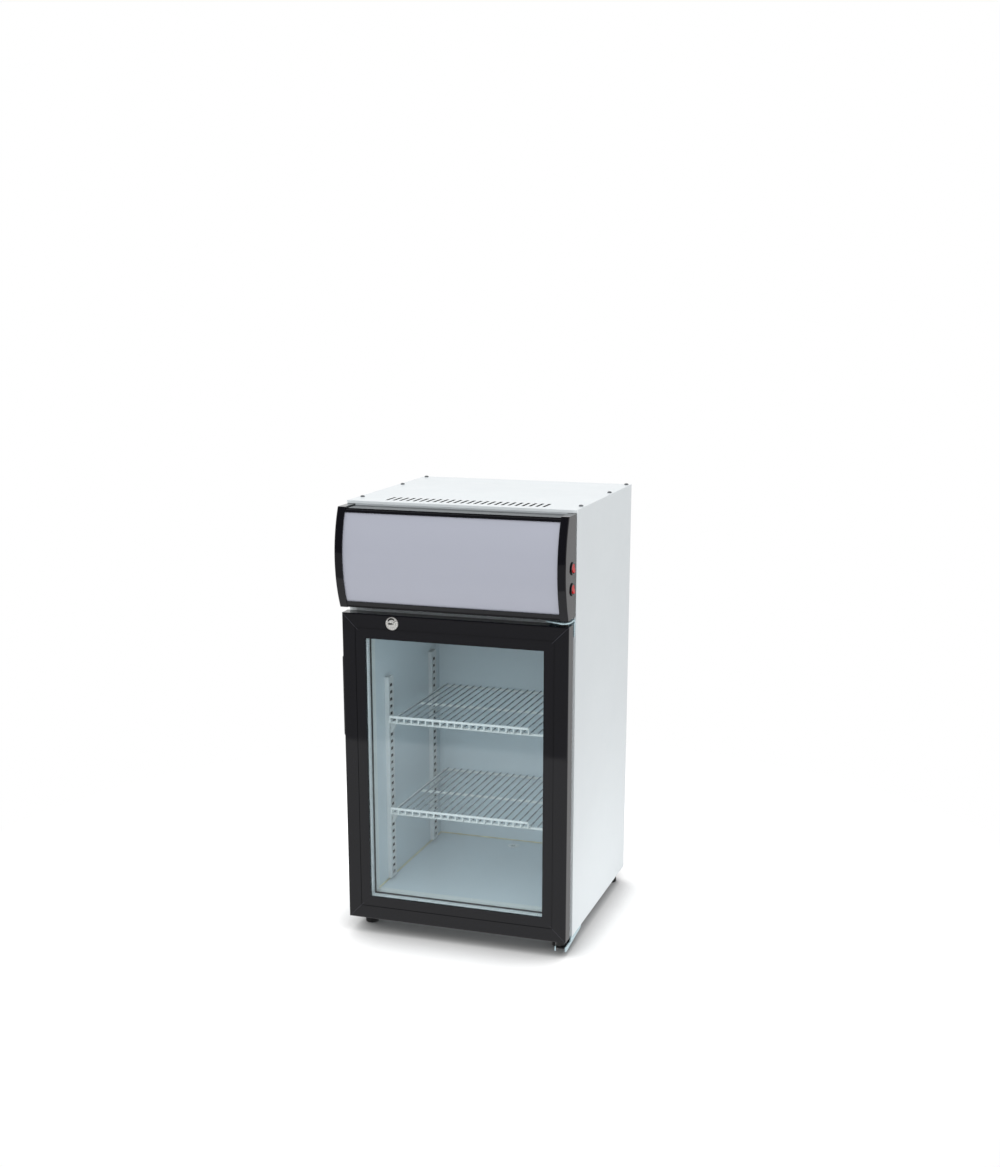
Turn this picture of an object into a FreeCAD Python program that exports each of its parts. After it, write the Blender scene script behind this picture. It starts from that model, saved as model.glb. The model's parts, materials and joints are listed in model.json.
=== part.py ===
import FreeCAD, Part
import math
import os
import re

import Sketcher

# Countertop beverage fridge with a light canopy over a glass door.
# Millimetres, +X to the right, +Y to the back, +Z up.
# The origin lies on the floor, below the middle of the outline.

SIZES = {
    # cabinet
    "cab_width": 430,
    "cab_depth": 390,
    "cavity_height": 498,
    "machine_height": 194,
    "foot_height": 28,
    "gauge": 1,
    "fold": 14,
    "side_wall": 43,
    "back_wall": 40,
    "floor_wall": 46,
    "ceiling_wall": 50,
    "flange_rise": 22,
    # top cover
    "slot_count": 24,
    "slot_pitch": 12.8,
    "slot_width": 5,
    "slot_length": 42,
    "slot_setback": 22,
    "cover_drop": 5,
    "cover_screw_inset": 8,
    "cover_screw_front": 52,
    "cover_screw_middle": 140,
    "cover_screw_back": 10,
    # screws
    "screw_diameter": 4,
    "screw_head": 8.5,
    "screw_head_height": 2.6,
    "screw_length": 8,
    "screw_clear": 0.1,
    # door
    "door_inset": 1.5,
    "door_lift": 2,
    "door_overlap": 46,
    "door_thickness": 27,
    "door_gap": 13,
    "rail_width": 45,
    "rail_lip": 4,
    "rail_round": 2,
    "groove_inset": 25,
    "groove_width": 1.6,
    "groove_depth": 1.2,
    "pane_thickness": 4,
    "pane_gap": 10,
    "pane_bite": 11,
    "pane_clear": 0.4,
    "spacer_inset": 1,
    "spacer_height": 13,
    "gasket_width": 16,
    "gasket_side_inset": 20,
    "gasket_end_inset": 26,
    "gasket_clear": 0.3,
    "grip_proud": 1.6,
    "grip_length": 152,
    "grip_drop": 80,
    "grip_depth": 18,
    # hinges
    "pin_diameter": 8,
    "pin_inset": 13.5,
    "pin_clear": 0.05,
    "bush_diameter": 12,
    "bush_flange": 18,
    "bush_depth": 14,
    "bush_clear": 0.1,
    "bush_drop": 9.5,
    "run_clear": 0.3,
    "bracket_left": 8,
    "bracket_right": 14,
    "bracket_gauge": 3,
    "bracket_leg": 9,
    "bracket_heel": 6,
    "bracket_nose": 10,
    "bracket_tail": 65,
    "bracket_screw": 12,
    "bracket_screw_side": 6,
    "plate_lift": 4,
    "plate_gauge": 3,
    "plate_left": 32,
    "plate_nose": 13,
    "plate_flange": 24,
    "plate_screw_low": 12,
    "plate_screw_near": 8,
    "plate_screw_far": 24,
    # feet
    "foot_inset": 19.5,
    "foot_side": 23,
    "hinge_foot_side": 31,
    "foot_bottom": 26,
    "foot_shoulder": 23,
    "foot_cup": 16,
    "foot_collar": 14,
    "foot_stud": 8,
    "stud_length": 12,
    "foot_clear": 0.2,
    # lock
    "lock_side": 98,
    "lock_drop": 14.5,
    "lock_rosette": 24,
    "lock_proud": 3.2,
    "lock_barrel": 19,
    "lock_plug": 14,
    "lock_clear": 0.1,
    "key_width": 7,
    "key_slot": 1.8,
    "key_depth": 6,
    "cam_length": 36,
    "cam_width": 12,
    "cam_gauge": 2.5,
    "cam_room": 1,
    "cam_gap": 14,
    # canopy
    "canopy_gap": 11.5,
    "canopy_step": 5.5,
    "canopy_reach": 66,
    "canopy_edge": 46,
    "canopy_inset": 1,
    "cap_width": 15,
    "cap_wall": 3,
    "cap_bevel": 1.5,
    "rail_drop": 2,
    "rail_setback": 1.2,
    "top_face": 9.5,
    "top_plate": 5.5,
    "top_ledge": 4.5,
    "top_setback": 1,
    "bottom_face": 12,
    "bottom_plate": 5,
    "bottom_ledge": 4,
    "bottom_setback": 1.5,
    "panel_thickness": 2,
    "panel_bite": 8,
    "panel_clear": 0.2,
    "lamp_height": 24,
    "lamp_edge": 6,
    "lamp_bow": 16,
    "lamp_inset": 45,
    # switches
    "switch_back": 24,
    "switch_drop": 1.5,
    "switch_pitch": 36.5,
    "switch_bezel": 23,
    "bezel_thickness": 2,
    "switch_barrel": 19,
    "switch_bore": 17.6,
    "switch_length": 20,
    "bore_depth": 10,
    "rocker_width": 16.2,
    "rocker_half": 7.4,
    "rocker_back": 4,
    "rocker_middle": 3,
    "rocker_tip": 4.3,
    "rocker_sink": 1,
    "rocker_tilt": 10,
    # shelves
    "standard_width": 25,
    "standard_depth": 8,
    "standard_gauge": 1.2,
    "standard_height": 400,
    "standard_lift": 4,
    "standard_front": 58,
    "standard_back": 37,
    "peg_pitch": 13.85,
    "peg_first": 9.3,
    "peg_count": 28,
    "peg_width": 12,
    "peg_height": 6,
    "lower_peg": 9,
    "upper_peg": 22,
    "clip_thickness": 3,
    "clip_width": 10,
    "clip_reach": 12,
    "clip_hook": 2.6,
    "clip_heel": 20,
    "shelf_rod": 5,
    "shelf_wire": 3,
    "wire_side": 7,
    "wire_count": 22,
    "fence_count": 20,
    "fence_reach": 15,
    "fence_rise": 14.7,
    "shelf_side": 7,
    "shelf_front": 42,
    "shelf_back": 8,
    "shelf_clear": 0.3,
    # evaporator
    "evap_side": 42,
    "evap_depth": 54,
    "evap_height": 52,
    "evap_back": 8,
    "cover_side": 6,
    "cover_depth": 92,
    "cover_height": 67,
    "cover_gauge": 1.2,
    "evap_fan_hole": 56,
    "evap_fan_drop": 34,
    "return_slots": 5,
    "return_pitch": 50,
    "return_length": 34,
    "return_width": 8,
    "return_back": 40,
    # fans
    "fan_blades": 5,
    "blade_gauge": 1.6,
    "shaft_diameter": 4,
    "shaft_clear": 0.05,
    "tip_clear": 2,
    "strut_width": 6,
    "strut_gauge": 2,
    "evap_hub": 22,
    "evap_motor_depth": 7,
    "evap_rotor_depth": 13,
    "rotor_gap": 2,
    "cond_fan_size": 150,
    "cond_fan_depth": 34,
    "cond_fan_hole": 142,
    "cond_hub": 48,
    "cond_motor_depth": 9,
    "cond_rotor_depth": 20,
    # condenser and compressor
    "machine_gap": 34,
    "cond_depth": 40,
    "cond_height": 150,
    "cond_side": 18,
    "cond_back": 24,
    "fin_pitch": 16,
    "fin_gauge": 2,
    "fin_border": 5,
    "shell_radius": 70,
    "shell_shoulder": 14,
    "shell_dome": 40,
    "shell_height": 122,
    "shell_back": 130,
    "saddle_side": 22,
    "saddle_depth": 116,
    "saddle_gauge": 3,
    "grommet_diameter": 24,
    "grommet_height": 12,
    "grommet_inset": 15,
    "stub_offset": 45,
    "stub_diameter": 10,
    "stub_top": 130,
    "stub_length": 34,
    # refrigerant lines
    "pipe_diameter": 6,
    "capillary": 4,
    "pipe_bend": 8,
    "capillary_bend": 5,
    "pipe_rise": 12,
    "pipe_clear": 0.6,
    "riser_gap": 25,
    "riser_apart": 18,
    "drier_diameter": 18,
    "drier_cone": 5,
    "drier_low": 32,
    "drier_high": 102,
    "liquid_low": 20,
    "capillary_rise": 15,
    # back of the machine space
    "vent_rows": 10,
    "vent_pitch": 13,
    "vent_height": 5,
    "vent_low": 36,
    "vent_width": 130,
    "vent_gap": 12,
    "vent_side": 24,
    "knob_reach": 16,
    "knob_diameter": 30,
    "knob_gap": 1,
    "knob_rib": 5,
    "knob_base": 6,
    "knob_side": 60,
    "knob_high": 100,
    "knob_shaft": 6,
    "thermo_width": 40,
    "thermo_depth": 30,
    "gland_side": 40,
    "gland_high": 20,
    "gland_flange": 20,
    "gland_lip": 3,
    "gland_barrel": 14,
    "gland_depth": 12,
    "gland_bore": 8,
    # floor drain
    "drain_outer": 14,
    "drain_bore": 10,
    "drain_flange": 24,
    "drain_lip": 1,
    "drain_back": 34,
    "drain_tail": 6,
}

# Places worked out from the sizes
FRONT = "((canopy_reach - cab_depth - knob_reach) / 2)"
BACK = f"({FRONT} + cab_depth)"
SIDE = "(cab_width / 2)"
LINER_X = "(cab_width / 2 - side_wall)"
LINER_BACK = f"({BACK} - back_wall)"
FLOOR = "(foot_height + floor_wall)"
CEILING = f"({FLOOR} + cavity_height)"
DECK = f"({CEILING} + ceiling_wall)"
DECK_TOP = f"({DECK} + gauge)"
TOP = f"({DECK} + machine_height)"
OPENING_X = f"({SIDE} - fold)"
DOOR_BACK = f"({FRONT} - door_gap)"
DOOR_FRONT = f"({DOOR_BACK} - door_thickness)"
DOOR_X = f"({SIDE} - door_inset)"
DOOR_BOTTOM = "(foot_height + door_lift)"
DOOR_TOP = f"({CEILING} + door_overlap)"
GLASS_Y = f"({DOOR_FRONT} + rail_lip)"
GLASS_DEPTH = "(2 * pane_thickness + pane_gap)"
GLASS_X = f"({DOOR_X} - rail_width + pane_bite - pane_clear)"
GLASS_LOW = f"({DOOR_BOTTOM} + rail_width - pane_bite + pane_clear)"
GLASS_HIGH = f"({DOOR_TOP} - rail_width + pane_bite - pane_clear)"
PIN_X = f"({DOOR_X} - pin_inset)"
PIN_Y = f"({DOOR_BACK} - door_thickness / 2)"
LOCK_X = f"(lock_side - {DOOR_X})"
LOCK_Z = f"({DOOR_TOP} - lock_drop)"
CANOPY_LOW = f"({DOOR_TOP} + canopy_gap)"
CANOPY_HIGH = f"({TOP} - canopy_step)"
CANOPY_MID = f"(({CANOPY_LOW} + {CANOPY_HIGH}) / 2)"
CANOPY_X = f"({SIDE} - canopy_inset)"
BOW = "(canopy_reach - canopy_edge)"
BOW_RADIUS = f"((({CANOPY_HIGH} - {CANOPY_LOW}) ^ 2 / 4 + {BOW} ^ 2) / (2 * {BOW}))"
BOW_CENTRE = f"({FRONT} - canopy_reach + {BOW_RADIUS})"
SWITCH_Y = f"({FRONT} - switch_back)"
STANDARD_LOW = f"({FLOOR} + standard_lift)"
SHELF_X = f"({LINER_X} - standard_depth - shelf_side)"
WIRE_PITCH = f"(2 * ({SHELF_X} - wire_side) / (wire_count - 1))"
SHELL_X = f"(-({SIDE} - saddle_side + machine_gap / 2) / 2)"
SADDLE_X = f"(({SIDE} - saddle_side - machine_gap / 2) / 2)"
SHELL_Y = f"({BACK} - shell_back)"
SADDLE_LOW = f"({DECK_TOP} + grommet_height)"
COND_RIGHT = f"({SIDE} - cond_side)"
COND_LEFT = "(machine_gap / 2)"
COND_FRONT = f"({BACK} - cond_back - cond_depth)"
COND_Y = f"({BACK} - cond_back - cond_depth / 2)"
COND_FAN_X = f"(({COND_LEFT} + {COND_RIGHT}) / 2)"
COND_FAN_Z = f"({DECK_TOP} + cond_fan_size / 2)"
RISER_X = f"({COND_LEFT} - riser_gap)"
CAPILLARY_X = f"({RISER_X} + riser_apart)"
EVAP_Y = f"({LINER_BACK} - evap_back - evap_depth / 2)"
COVER_FRONT = f"({LINER_BACK} - cover_depth)"
EVAP_FAN_Z = f"({CEILING} - evap_fan_drop)"
PIPE_Z = f"({DECK_TOP} + stub_top + pipe_rise)"
KNOB_X = f"(knob_side - {SIDE})"
KNOB_Z = f"({DECK_TOP} + knob_high)"
GLAND_X = f"({SIDE} - gland_side)"
GLAND_Z = f"({DECK_TOP} + gland_high)"
DRAIN_Y = f"({LINER_BACK} - drain_back)"

# Sides of the prisms that stand for small, middling and wide round work
FEW_COUNT = 6
ROUND_COUNT = 12
WIDE_COUNT = 24
# Shares of a rotor's depth: how far its shaft reaches in, and how deep the bore for it is
SHAFT_SHARE = 0.5
BORE_SHARE = 0.65
# Corner style of a swept pipe
MITRED = 1
# How near two places are that count as the same
SAME_PLACE = 0.01

V = FreeCAD.Vector
ALONG = {
    "x": FreeCAD.Rotation(V(0, 1, 0), 90),
    "y": FreeCAD.Rotation(V(1, 0, 0), -90),
    "z": FreeCAD.Rotation(),
}

doc = FreeCAD.newDocument("beverage_fridge")
sheet = doc.addObject("Spreadsheet::Sheet", "dims")
for row, (alias, size) in enumerate(SIZES.items(), start=1):
    sheet.set(f"A{row}", str(size))
    sheet.setAlias(f"A{row}", alias)
doc.recompute()


# Sizes and bindings

def bound(text):
    """Point the size names in an expression at the sheet."""
    return re.sub(r"[a-z_]+", lambda word: "dims." + word[0] if word[0] in SIZES else word[0], text)


def number(text):
    return float(sheet.evalExpression(bound(text)))


def bind(item, path, text):
    item.setExpression(path, bound(text))


def place(item, x, y, z):
    for axis, text in zip("xyz", (x, y, z)):
        bind(item, f"Placement.Base.{axis}", text)
    return item


# Plain solids

def box(label, x, y, z):
    """A block between pairs of expressions."""
    block = doc.addObject("Part::Box", label)
    for size, (low, high) in zip(("Length", "Width", "Height"), (x, y, z)):
        bind(block, size, f"({high}) - ({low})")
    return place(block, x[0], y[0], z[0])


def rod(label, axis, diameter, centre, low, high, sides=0):
    """A cylinder along one axis, between two places on it, or a prism of so many sides."""
    bar = doc.addObject("Part::Prism" if sides else "Part::Cylinder", label)
    turn = ALONG[axis]
    if sides:
        bar.Polygon = int(sides)
        turn = turn * FreeCAD.Rotation(V(0, 0, 1), 180 / sides)
    bar.Placement = FreeCAD.Placement(V(), turn)
    bind(bar, "Circumradius" if sides else "Radius", f"({diameter}) / 2")
    bind(bar, "Height", f"({high}) - ({low})")
    across = iter(centre)
    return place(bar, *(low if name == axis else next(across) for name in "xyz"))


def fuse(label, *members):
    whole = doc.addObject("Part::MultiFuse", label)
    whole.Shapes = list(members)
    return whole


def cut(label, base, *tools):
    piece = doc.addObject("Part::Cut", label)
    piece.Base = base
    piece.Tool = tools[0] if len(tools) == 1 else fuse(f"{label}_openings", *tools)
    return piece


def group(label, members):
    """Separate solids that share one node."""
    together = doc.addObject("Part::Compound", label)
    together.Links = list(members)
    return together


def room(label, x, y, width, low, high):
    """A square upright opening round a centre."""
    half = f"({width}) / 2"
    return box(label, (f"{x} - {half}", f"{x} + {half}"), (f"{y} - {half}", f"{y} + {half}"), (low, high))


def spread(half):
    return f"-({half})", half


# Sketched solids

def body(label):
    piece = doc.addObject("PartDesign::Body", label)
    piece.AllowCompound = True
    return piece


def origin_feature(piece, role):
    return next(item for item in piece.Origin.OriginFeatures if item.Role == role)


def rectangle(x, y):
    return [(x[0], y[0]), (x[1], y[0]), (x[1], y[1]), (x[0], y[1])]


def polygon(x, y, diameter, sides, start=0.5):
    """A regular outline with its corners on a circle, the first one part of a step from the first axis."""
    corners = []
    for step in range(int(sides)):
        angle = 2 * math.pi * (step + start) / sides
        corners.append((f"{x} + ({math.cos(angle):.6f}) * ({diameter}) / 2",
                        f"{y} + ({math.sin(angle):.6f}) * ({diameter}) / 2"))
    return corners


def add_arc(drawing, here, there, radius, turn):
    """An arc between two corners: turn 1 runs counter-clockwise, -1 clockwise."""
    chord = there - here
    half = chord.Length / 2
    left = V(-chord.y, chord.x, 0).normalize()
    centre = (here + there) / 2 + left * (turn * math.sqrt(max(radius ** 2 - half ** 2, 0)))
    first, last = (here, there) if turn > 0 else (there, here)
    angles = [math.atan2(spot.y - centre.y, spot.x - centre.x) for spot in (first, last)]
    drawing.addGeometry(Part.ArcOfCircle(Part.Circle(centre, V(0, 0, 1), radius), *angles))
    return (1, 2) if turn > 0 else (2, 1)


def draw_loop(drawing, corners):
    """A closed outline. A corner with a radius and a turn starts an arc."""
    start = drawing.GeometryCount
    count = len(corners)
    spots = [V(number(corner[0]), number(corner[1]), 0) for corner in corners]
    ends = []
    for index, corner in enumerate(corners):
        here, there = spots[index], spots[(index + 1) % count]
        if len(corner) == 2:
            drawing.addGeometry(Part.LineSegment(here, there))
            ends.append((1, 2))
            continue
        ends.append(add_arc(drawing, here, there, number(corner[2]), corner[3]))
        radius = drawing.addConstraint(Sketcher.Constraint("Radius", start + index, number(corner[2])))
        bind(drawing, f"Constraints[{radius}]", corner[2])
    for index in range(count):
        after = (index + 1) % count
        drawing.addConstraint(Sketcher.Constraint(
            "Coincident", start + index, ends[index][1], start + after, ends[after][0]))
    for index, corner in enumerate(corners):
        for kind, text, value in zip(("DistanceX", "DistanceY"), corner, spots[index]):
            spot = (start + index, ends[index][0])
            line = drawing.addConstraint(Sketcher.Constraint(kind, -1, 1, *spot, value))
            bind(drawing, f"Constraints[{line}]", text)


def draw_circle(drawing, x, y, diameter):
    centre = V(number(x), number(y), 0)
    circle = drawing.addGeometry(Part.Circle(centre, V(0, 0, 1), number(diameter) / 2))
    for kind, text, value in zip(("DistanceX", "DistanceY"), (x, y), centre):
        line = drawing.addConstraint(Sketcher.Constraint(kind, -1, 1, circle, 3, value))
        bind(drawing, f"Constraints[{line}]", text)
    line = drawing.addConstraint(Sketcher.Constraint("Diameter", circle, number(diameter)))
    bind(drawing, f"Constraints[{line}]", diameter)


def sketch(piece, plane, loops, level="0"):
    """Closed loops on a plane of the piece's own origin, at a level along its axis.

    A loop is a list of corners, a circle (x, y, diameter) or a polygon (x, y, diameter, sides).
    """
    drawing = piece.newObject("Sketcher::SketchObject", f"{piece.Label}_sketch")
    drawing.AttachmentSupport = (origin_feature(piece, f"{plane}_Plane"), [""])
    drawing.MapMode = "FlatFace"
    bind(drawing, "AttachmentOffset.Base.z", f"-({level})" if plane == "XZ" else level)
    for loop in loops:
        if isinstance(loop, list):
            draw_loop(drawing, loop)
        elif len(loop) == 3:
            draw_circle(drawing, *loop)
        else:
            draw_loop(drawing, polygon(*loop))
    return drawing


def pad(piece, plane, loops, low, high):
    feature = piece.newObject("PartDesign::Pad", f"{piece.Label}_pad")
    feature.Profile = sketch(piece, plane, loops, low)
    feature.Reversed = plane == "XZ"
    bind(feature, "Length", f"({high}) - ({low})")
    return feature


def pocket(piece, plane, loops, low, high):
    feature = piece.newObject("PartDesign::Pocket", f"{piece.Label}_pocket")
    feature.Profile = sketch(piece, plane, loops, low)
    feature.Reversed = plane != "XZ"
    bind(feature, "Length", f"({high}) - ({low})")
    return feature


def loft(piece, plane, sections):
    """A solid with straight sides through loops at given levels."""
    drawings = [sketch(piece, plane, [loop], level) for loop, level in sections]
    feature = piece.newObject("PartDesign::AdditiveLoft", f"{piece.Label}_loft")
    feature.Profile = drawings[0]
    feature.Sections = drawings[1:]
    feature.Ruled = True
    return feature


def repeat(piece, feature, axis, count, pitch):
    pattern = piece.newObject("PartDesign::LinearPattern", f"{piece.Label}_row")
    pattern.Originals = [feature]
    pattern.Direction = (origin_feature(piece, f"{axis}_Axis"), [""])
    bind(pattern, "Length", f"({pitch}) * ({count} - 1)")
    bind(pattern, "Occurrences", count)
    piece.Tip = pattern


def repeat_round(piece, feature, axis, count):
    pattern = piece.newObject("PartDesign::PolarPattern", f"{piece.Label}_ring")
    pattern.Originals = [feature]
    pattern.Axis = (origin_feature(piece, f"{axis}_Axis"), [""])
    pattern.Angle = 360
    bind(pattern, "Occurrences", count)
    piece.Tip = pattern


def lies_at(edge, **levels):
    """Whether both ends of an edge lie at given levels along the axes."""
    return all(abs(getattr(end.Point, axis) - level) < SAME_PLACE
               for end in edge.Vertexes for axis, level in levels.items())


def dress_edges(piece, kind, size, wanted):
    """Fillet or chamfer the edges of a piece for which a test holds."""
    doc.recompute()
    tip = piece.Tip
    edges = [f"Edge{index}" for index, edge in enumerate(tip.Shape.Edges, start=1) if wanted(edge)]
    feature = piece.newObject(f"PartDesign::{kind}", f"{piece.Label}_dressing")
    feature.Base = (tip, edges)
    bind(feature, "Radius" if kind == "Fillet" else "Size", size)


def chamfer_end(piece, level, size):
    """Chamfer the rim of a piece at one level along Z."""
    rim = number(level)
    dress_edges(piece, "Chamfer", size, lambda edge: lies_at(edge, z=rim))


# Screws

def screw(label, length, turn, spot):
    """A screw whose head seats at its place and whose shank points away from it."""
    piece = body(label)
    pad(piece, "XY", [("0", "0", "screw_diameter", FEW_COUNT)], f"-({length})", "0")
    pad(piece, "XY", [("0", "0", "screw_head", ROUND_COUNT)], "0", "screw_head_height")
    piece.Placement = FreeCAD.Placement(V(), turn)
    return place(piece, *spot)


SCREW_HOLE = "screw_diameter + 2 * screw_clear"
COVER_SCREWS = [
    (f"{side} * ({SIDE} - cover_screw_inset)", y)
    for side in (-1, 1)
    for y in (f"{FRONT} + cover_screw_front", f"{BACK} - cover_screw_middle", f"{BACK} - cover_screw_back")
]
BRACKET_SCREWS = [(f"{PIN_X} + bracket_screw_side", y)
                  for y in (f"{FRONT} + bracket_screw", f"{FRONT} + bracket_tail - bracket_screw")]
PLATE_SCREWS = [(f"{PIN_X} - {apart}", f"{DOOR_TOP} - plate_screw_low")
                for apart in ("plate_screw_near", "plate_screw_far")]
FEET = [
    (f"foot_side - {SIDE}", f"{FRONT} + foot_inset"),
    (f"foot_side - {SIDE}", f"{BACK} - foot_inset"),
    (f"{SIDE} - hinge_foot_side", f"{FRONT} + foot_inset"),
    (f"{SIDE} - foot_side", f"{BACK} - foot_inset"),
]


# Outer cabinet

def side_panel(label, side):
    """A steel side with its front and top edges folded inwards."""
    panel = body(label)
    outer = f"{side} * {SIDE}"
    inner = f"{side} * ({SIDE} - gauge)"
    folded = f"{side} * {OPENING_X}"
    plan = [(outer, FRONT), (folded, FRONT), (folded, f"{FRONT} + gauge"), (inner, f"{FRONT} + gauge"),
            (inner, BACK), (outer, BACK)]
    pad(panel, "XY", [plan], "foot_height", f"{TOP} - gauge")
    top_fold = rectangle((outer, folded), (FRONT, f"{BACK} - gauge"))
    pad(panel, "XY", [top_fold], f"{TOP} - 2 * gauge", f"{TOP} - gauge")
    holes = [(x, y, SCREW_HOLE, FEW_COUNT) for x, y in COVER_SCREWS if x.startswith(f"{side} ")]
    pocket(panel, "XY", holes, f"{TOP} - 2 * gauge", f"{TOP} - gauge")
    return panel


def top_cover():
    """The lid with its row of slots, a folded front edge and six screw holes."""
    cover = body("top_cover")
    lid = rectangle(spread(SIDE), (FRONT, BACK))
    pad(cover, "XY", [lid], f"{TOP} - gauge", TOP)
    front_fold = rectangle(spread(SIDE), (f"{FRONT} - gauge", FRONT))
    pad(cover, "XY", [front_fold], f"{TOP} - cover_drop", TOP)
    holes = [(x, y, SCREW_HOLE, FEW_COUNT) for x, y in COVER_SCREWS]
    pocket(cover, "XY", holes, f"{TOP} - gauge", TOP)
    first = "-(slot_count - 1) * slot_pitch / 2"
    slot = rectangle((f"{first} - slot_width / 2", f"{first} + slot_width / 2"),
                     (f"{FRONT} + slot_setback", f"{FRONT} + slot_setback + slot_length"))
    repeat(cover, pocket(cover, "XY", [slot], f"{TOP} - gauge", TOP), "X", "slot_count", "slot_pitch")
    return cover


def cover_screws():
    return group("top_screws", [
        screw(f"top_screw_{index}", "screw_length", ALONG["z"], (x, y, TOP))
        for index, (x, y) in enumerate(COVER_SCREWS, start=1)])


def base_plate():
    plate = body("base_plate")
    plan = rectangle(spread(f"({SIDE} - gauge)"), (f"{FRONT} + gauge", f"{BACK} - gauge"))
    pad(plate, "XY", [plan], "foot_height", "foot_height + gauge")
    holes = [(x, y, "foot_stud + 2 * foot_clear", FEW_COUNT) for x, y in FEET]
    holes += [(x, y, SCREW_HOLE, FEW_COUNT) for x, y in BRACKET_SCREWS]
    holes.append(("0", DRAIN_Y, "drain_outer + 2 * foot_clear", ROUND_COUNT))
    pocket(plate, "XY", holes, "foot_height", "foot_height + gauge")
    return plate


def riser_holes():
    """Openings for the two refrigerant lines that run down to the evaporator."""
    return [(RISER_X, EVAP_Y, "pipe_diameter + 2 * pipe_clear", FEW_COUNT),
            (CAPILLARY_X, EVAP_Y, "capillary + 2 * pipe_clear", FEW_COUNT)]


def foam_insulation():
    """One poured block that fills the walls round the liner."""
    block = box("foam_block", spread(f"({SIDE} - gauge)"), (f"{FRONT} + gauge", f"{BACK} - gauge"),
                ("foot_height + gauge", DECK))
    hollow = box("foam_hollow", spread(f"({LINER_X} + gauge)"), (FRONT, f"{LINER_BACK} + gauge"),
                 (f"{FLOOR} - gauge", f"{CEILING} + gauge"))
    rooms = [room(f"stud_room_{index}", x, y, "foot_stud + 2 * foot_clear", "foot_height",
                  "foot_height + stud_length + foot_clear") for index, (x, y) in enumerate(FEET, start=1)]
    rooms.append(room("drain_room", "0", DRAIN_Y, "drain_outer + 2 * foot_clear", "foot_height", FLOOR))
    rooms += [room(f"riser_room_{index}", x, y, width, CEILING, DECK)
              for index, (x, y, width, _) in enumerate(riser_holes(), start=1)]
    return cut("foam_insulation", block, hollow, *rooms)


def rear_grille():
    """The vented upper back panel, in front of the condenser."""
    panel = body("rear_grille")
    sheet_steel = rectangle(spread(f"({SIDE} - gauge)"), (DECK_TOP, f"{TOP} - gauge"))
    pad(panel, "XZ", [sheet_steel], f"{BACK} - gauge", BACK)
    right = f"{SIDE} - vent_side"
    middle = f"{right} - vent_width"
    left = f"{middle} - vent_gap"
    row_z = (f"{DECK_TOP} + vent_low", f"{DECK_TOP} + vent_low + vent_height")
    vents = [rectangle((middle, right), row_z), rectangle((f"{left} - vent_width", left), row_z)]
    holes = [(KNOB_X, KNOB_Z, "knob_shaft + 2 * pipe_clear", ROUND_COUNT),
             (GLAND_X, GLAND_Z, "gland_barrel + 2 * pipe_clear", ROUND_COUNT)]
    pocket(panel, "XZ", holes, f"{BACK} - gauge", BACK)
    repeat(panel, pocket(panel, "XZ", vents, f"{BACK} - gauge", BACK), "Z", "vent_rows", "vent_pitch")
    return panel


def front_panel():
    """The dark front of the machine space, behind the canopy and above the opening."""
    panel = body("front_panel")
    face = rectangle(spread(OPENING_X), (f"{CEILING} + flange_rise", f"{TOP} - gauge"))
    pad(panel, "XZ", [face], FRONT, f"{FRONT} + gauge")
    pocket(panel, "XZ", [(x, z, SCREW_HOLE, FEW_COUNT) for x, z in PLATE_SCREWS], FRONT, f"{FRONT} + gauge")
    return panel


def machine_deck():
    deck = body("machine_deck")
    plan = rectangle(spread(f"({SIDE} - gauge)"), (f"{FRONT} + gauge", f"{BACK} - gauge"))
    pad(deck, "XY", [plan], DECK, DECK_TOP)
    pocket(deck, "XY", riser_holes(), DECK, DECK_TOP)
    return deck


def back_panel():
    return box("back_panel", spread(f"({SIDE} - gauge)"), (f"{BACK} - gauge", BACK),
               ("foot_height", DECK_TOP))


# Liner of the cold space

def liner_side(label, side):
    """A side wall of the cold space with a front flange that reaches the outer side."""
    wall = body(label)
    inner = f"{side} * {LINER_X}"
    outer = f"{side} * ({LINER_X} + gauge)"
    flange = f"{side} * {OPENING_X}"
    plan = [(inner, FRONT), (flange, FRONT), (flange, f"{FRONT} + gauge"), (outer, f"{FRONT} + gauge"),
            (outer, LINER_BACK), (inner, LINER_BACK)]
    pad(wall, "XY", [plan], FLOOR, CEILING)
    return wall


def liner_back():
    return box("liner_back", spread(f"({LINER_X} + gauge)"), (LINER_BACK, f"{LINER_BACK} + gauge"),
               (f"{FLOOR} - gauge", f"{CEILING} + gauge"))


def liner_floor():
    tray = body("liner_floor")
    pan = rectangle(spread(f"({LINER_X} + gauge)"), (FRONT, LINER_BACK))
    pad(tray, "XY", [pan], f"{FLOOR} - gauge", FLOOR)
    apron = rectangle(spread(OPENING_X), (FRONT, f"{FRONT} + gauge"))
    pad(tray, "XY", [apron], "foot_height", FLOOR)
    drain_hole = ("0", DRAIN_Y, "drain_outer + 2 * foot_clear", ROUND_COUNT)
    pocket(tray, "XY", [drain_hole], f"{FLOOR} - gauge", FLOOR)
    return tray


def liner_ceiling():
    roof = body("liner_ceiling")
    pan = rectangle(spread(f"({LINER_X} + gauge)"), (FRONT, LINER_BACK))
    pad(roof, "XY", [pan], CEILING, f"{CEILING} + gauge")
    apron = rectangle(spread(OPENING_X), (FRONT, f"{FRONT} + gauge"))
    pad(roof, "XY", [apron], CEILING, f"{CEILING} + flange_rise")
    pocket(roof, "XY", riser_holes(), CEILING, f"{CEILING} + gauge")
    return roof


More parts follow.
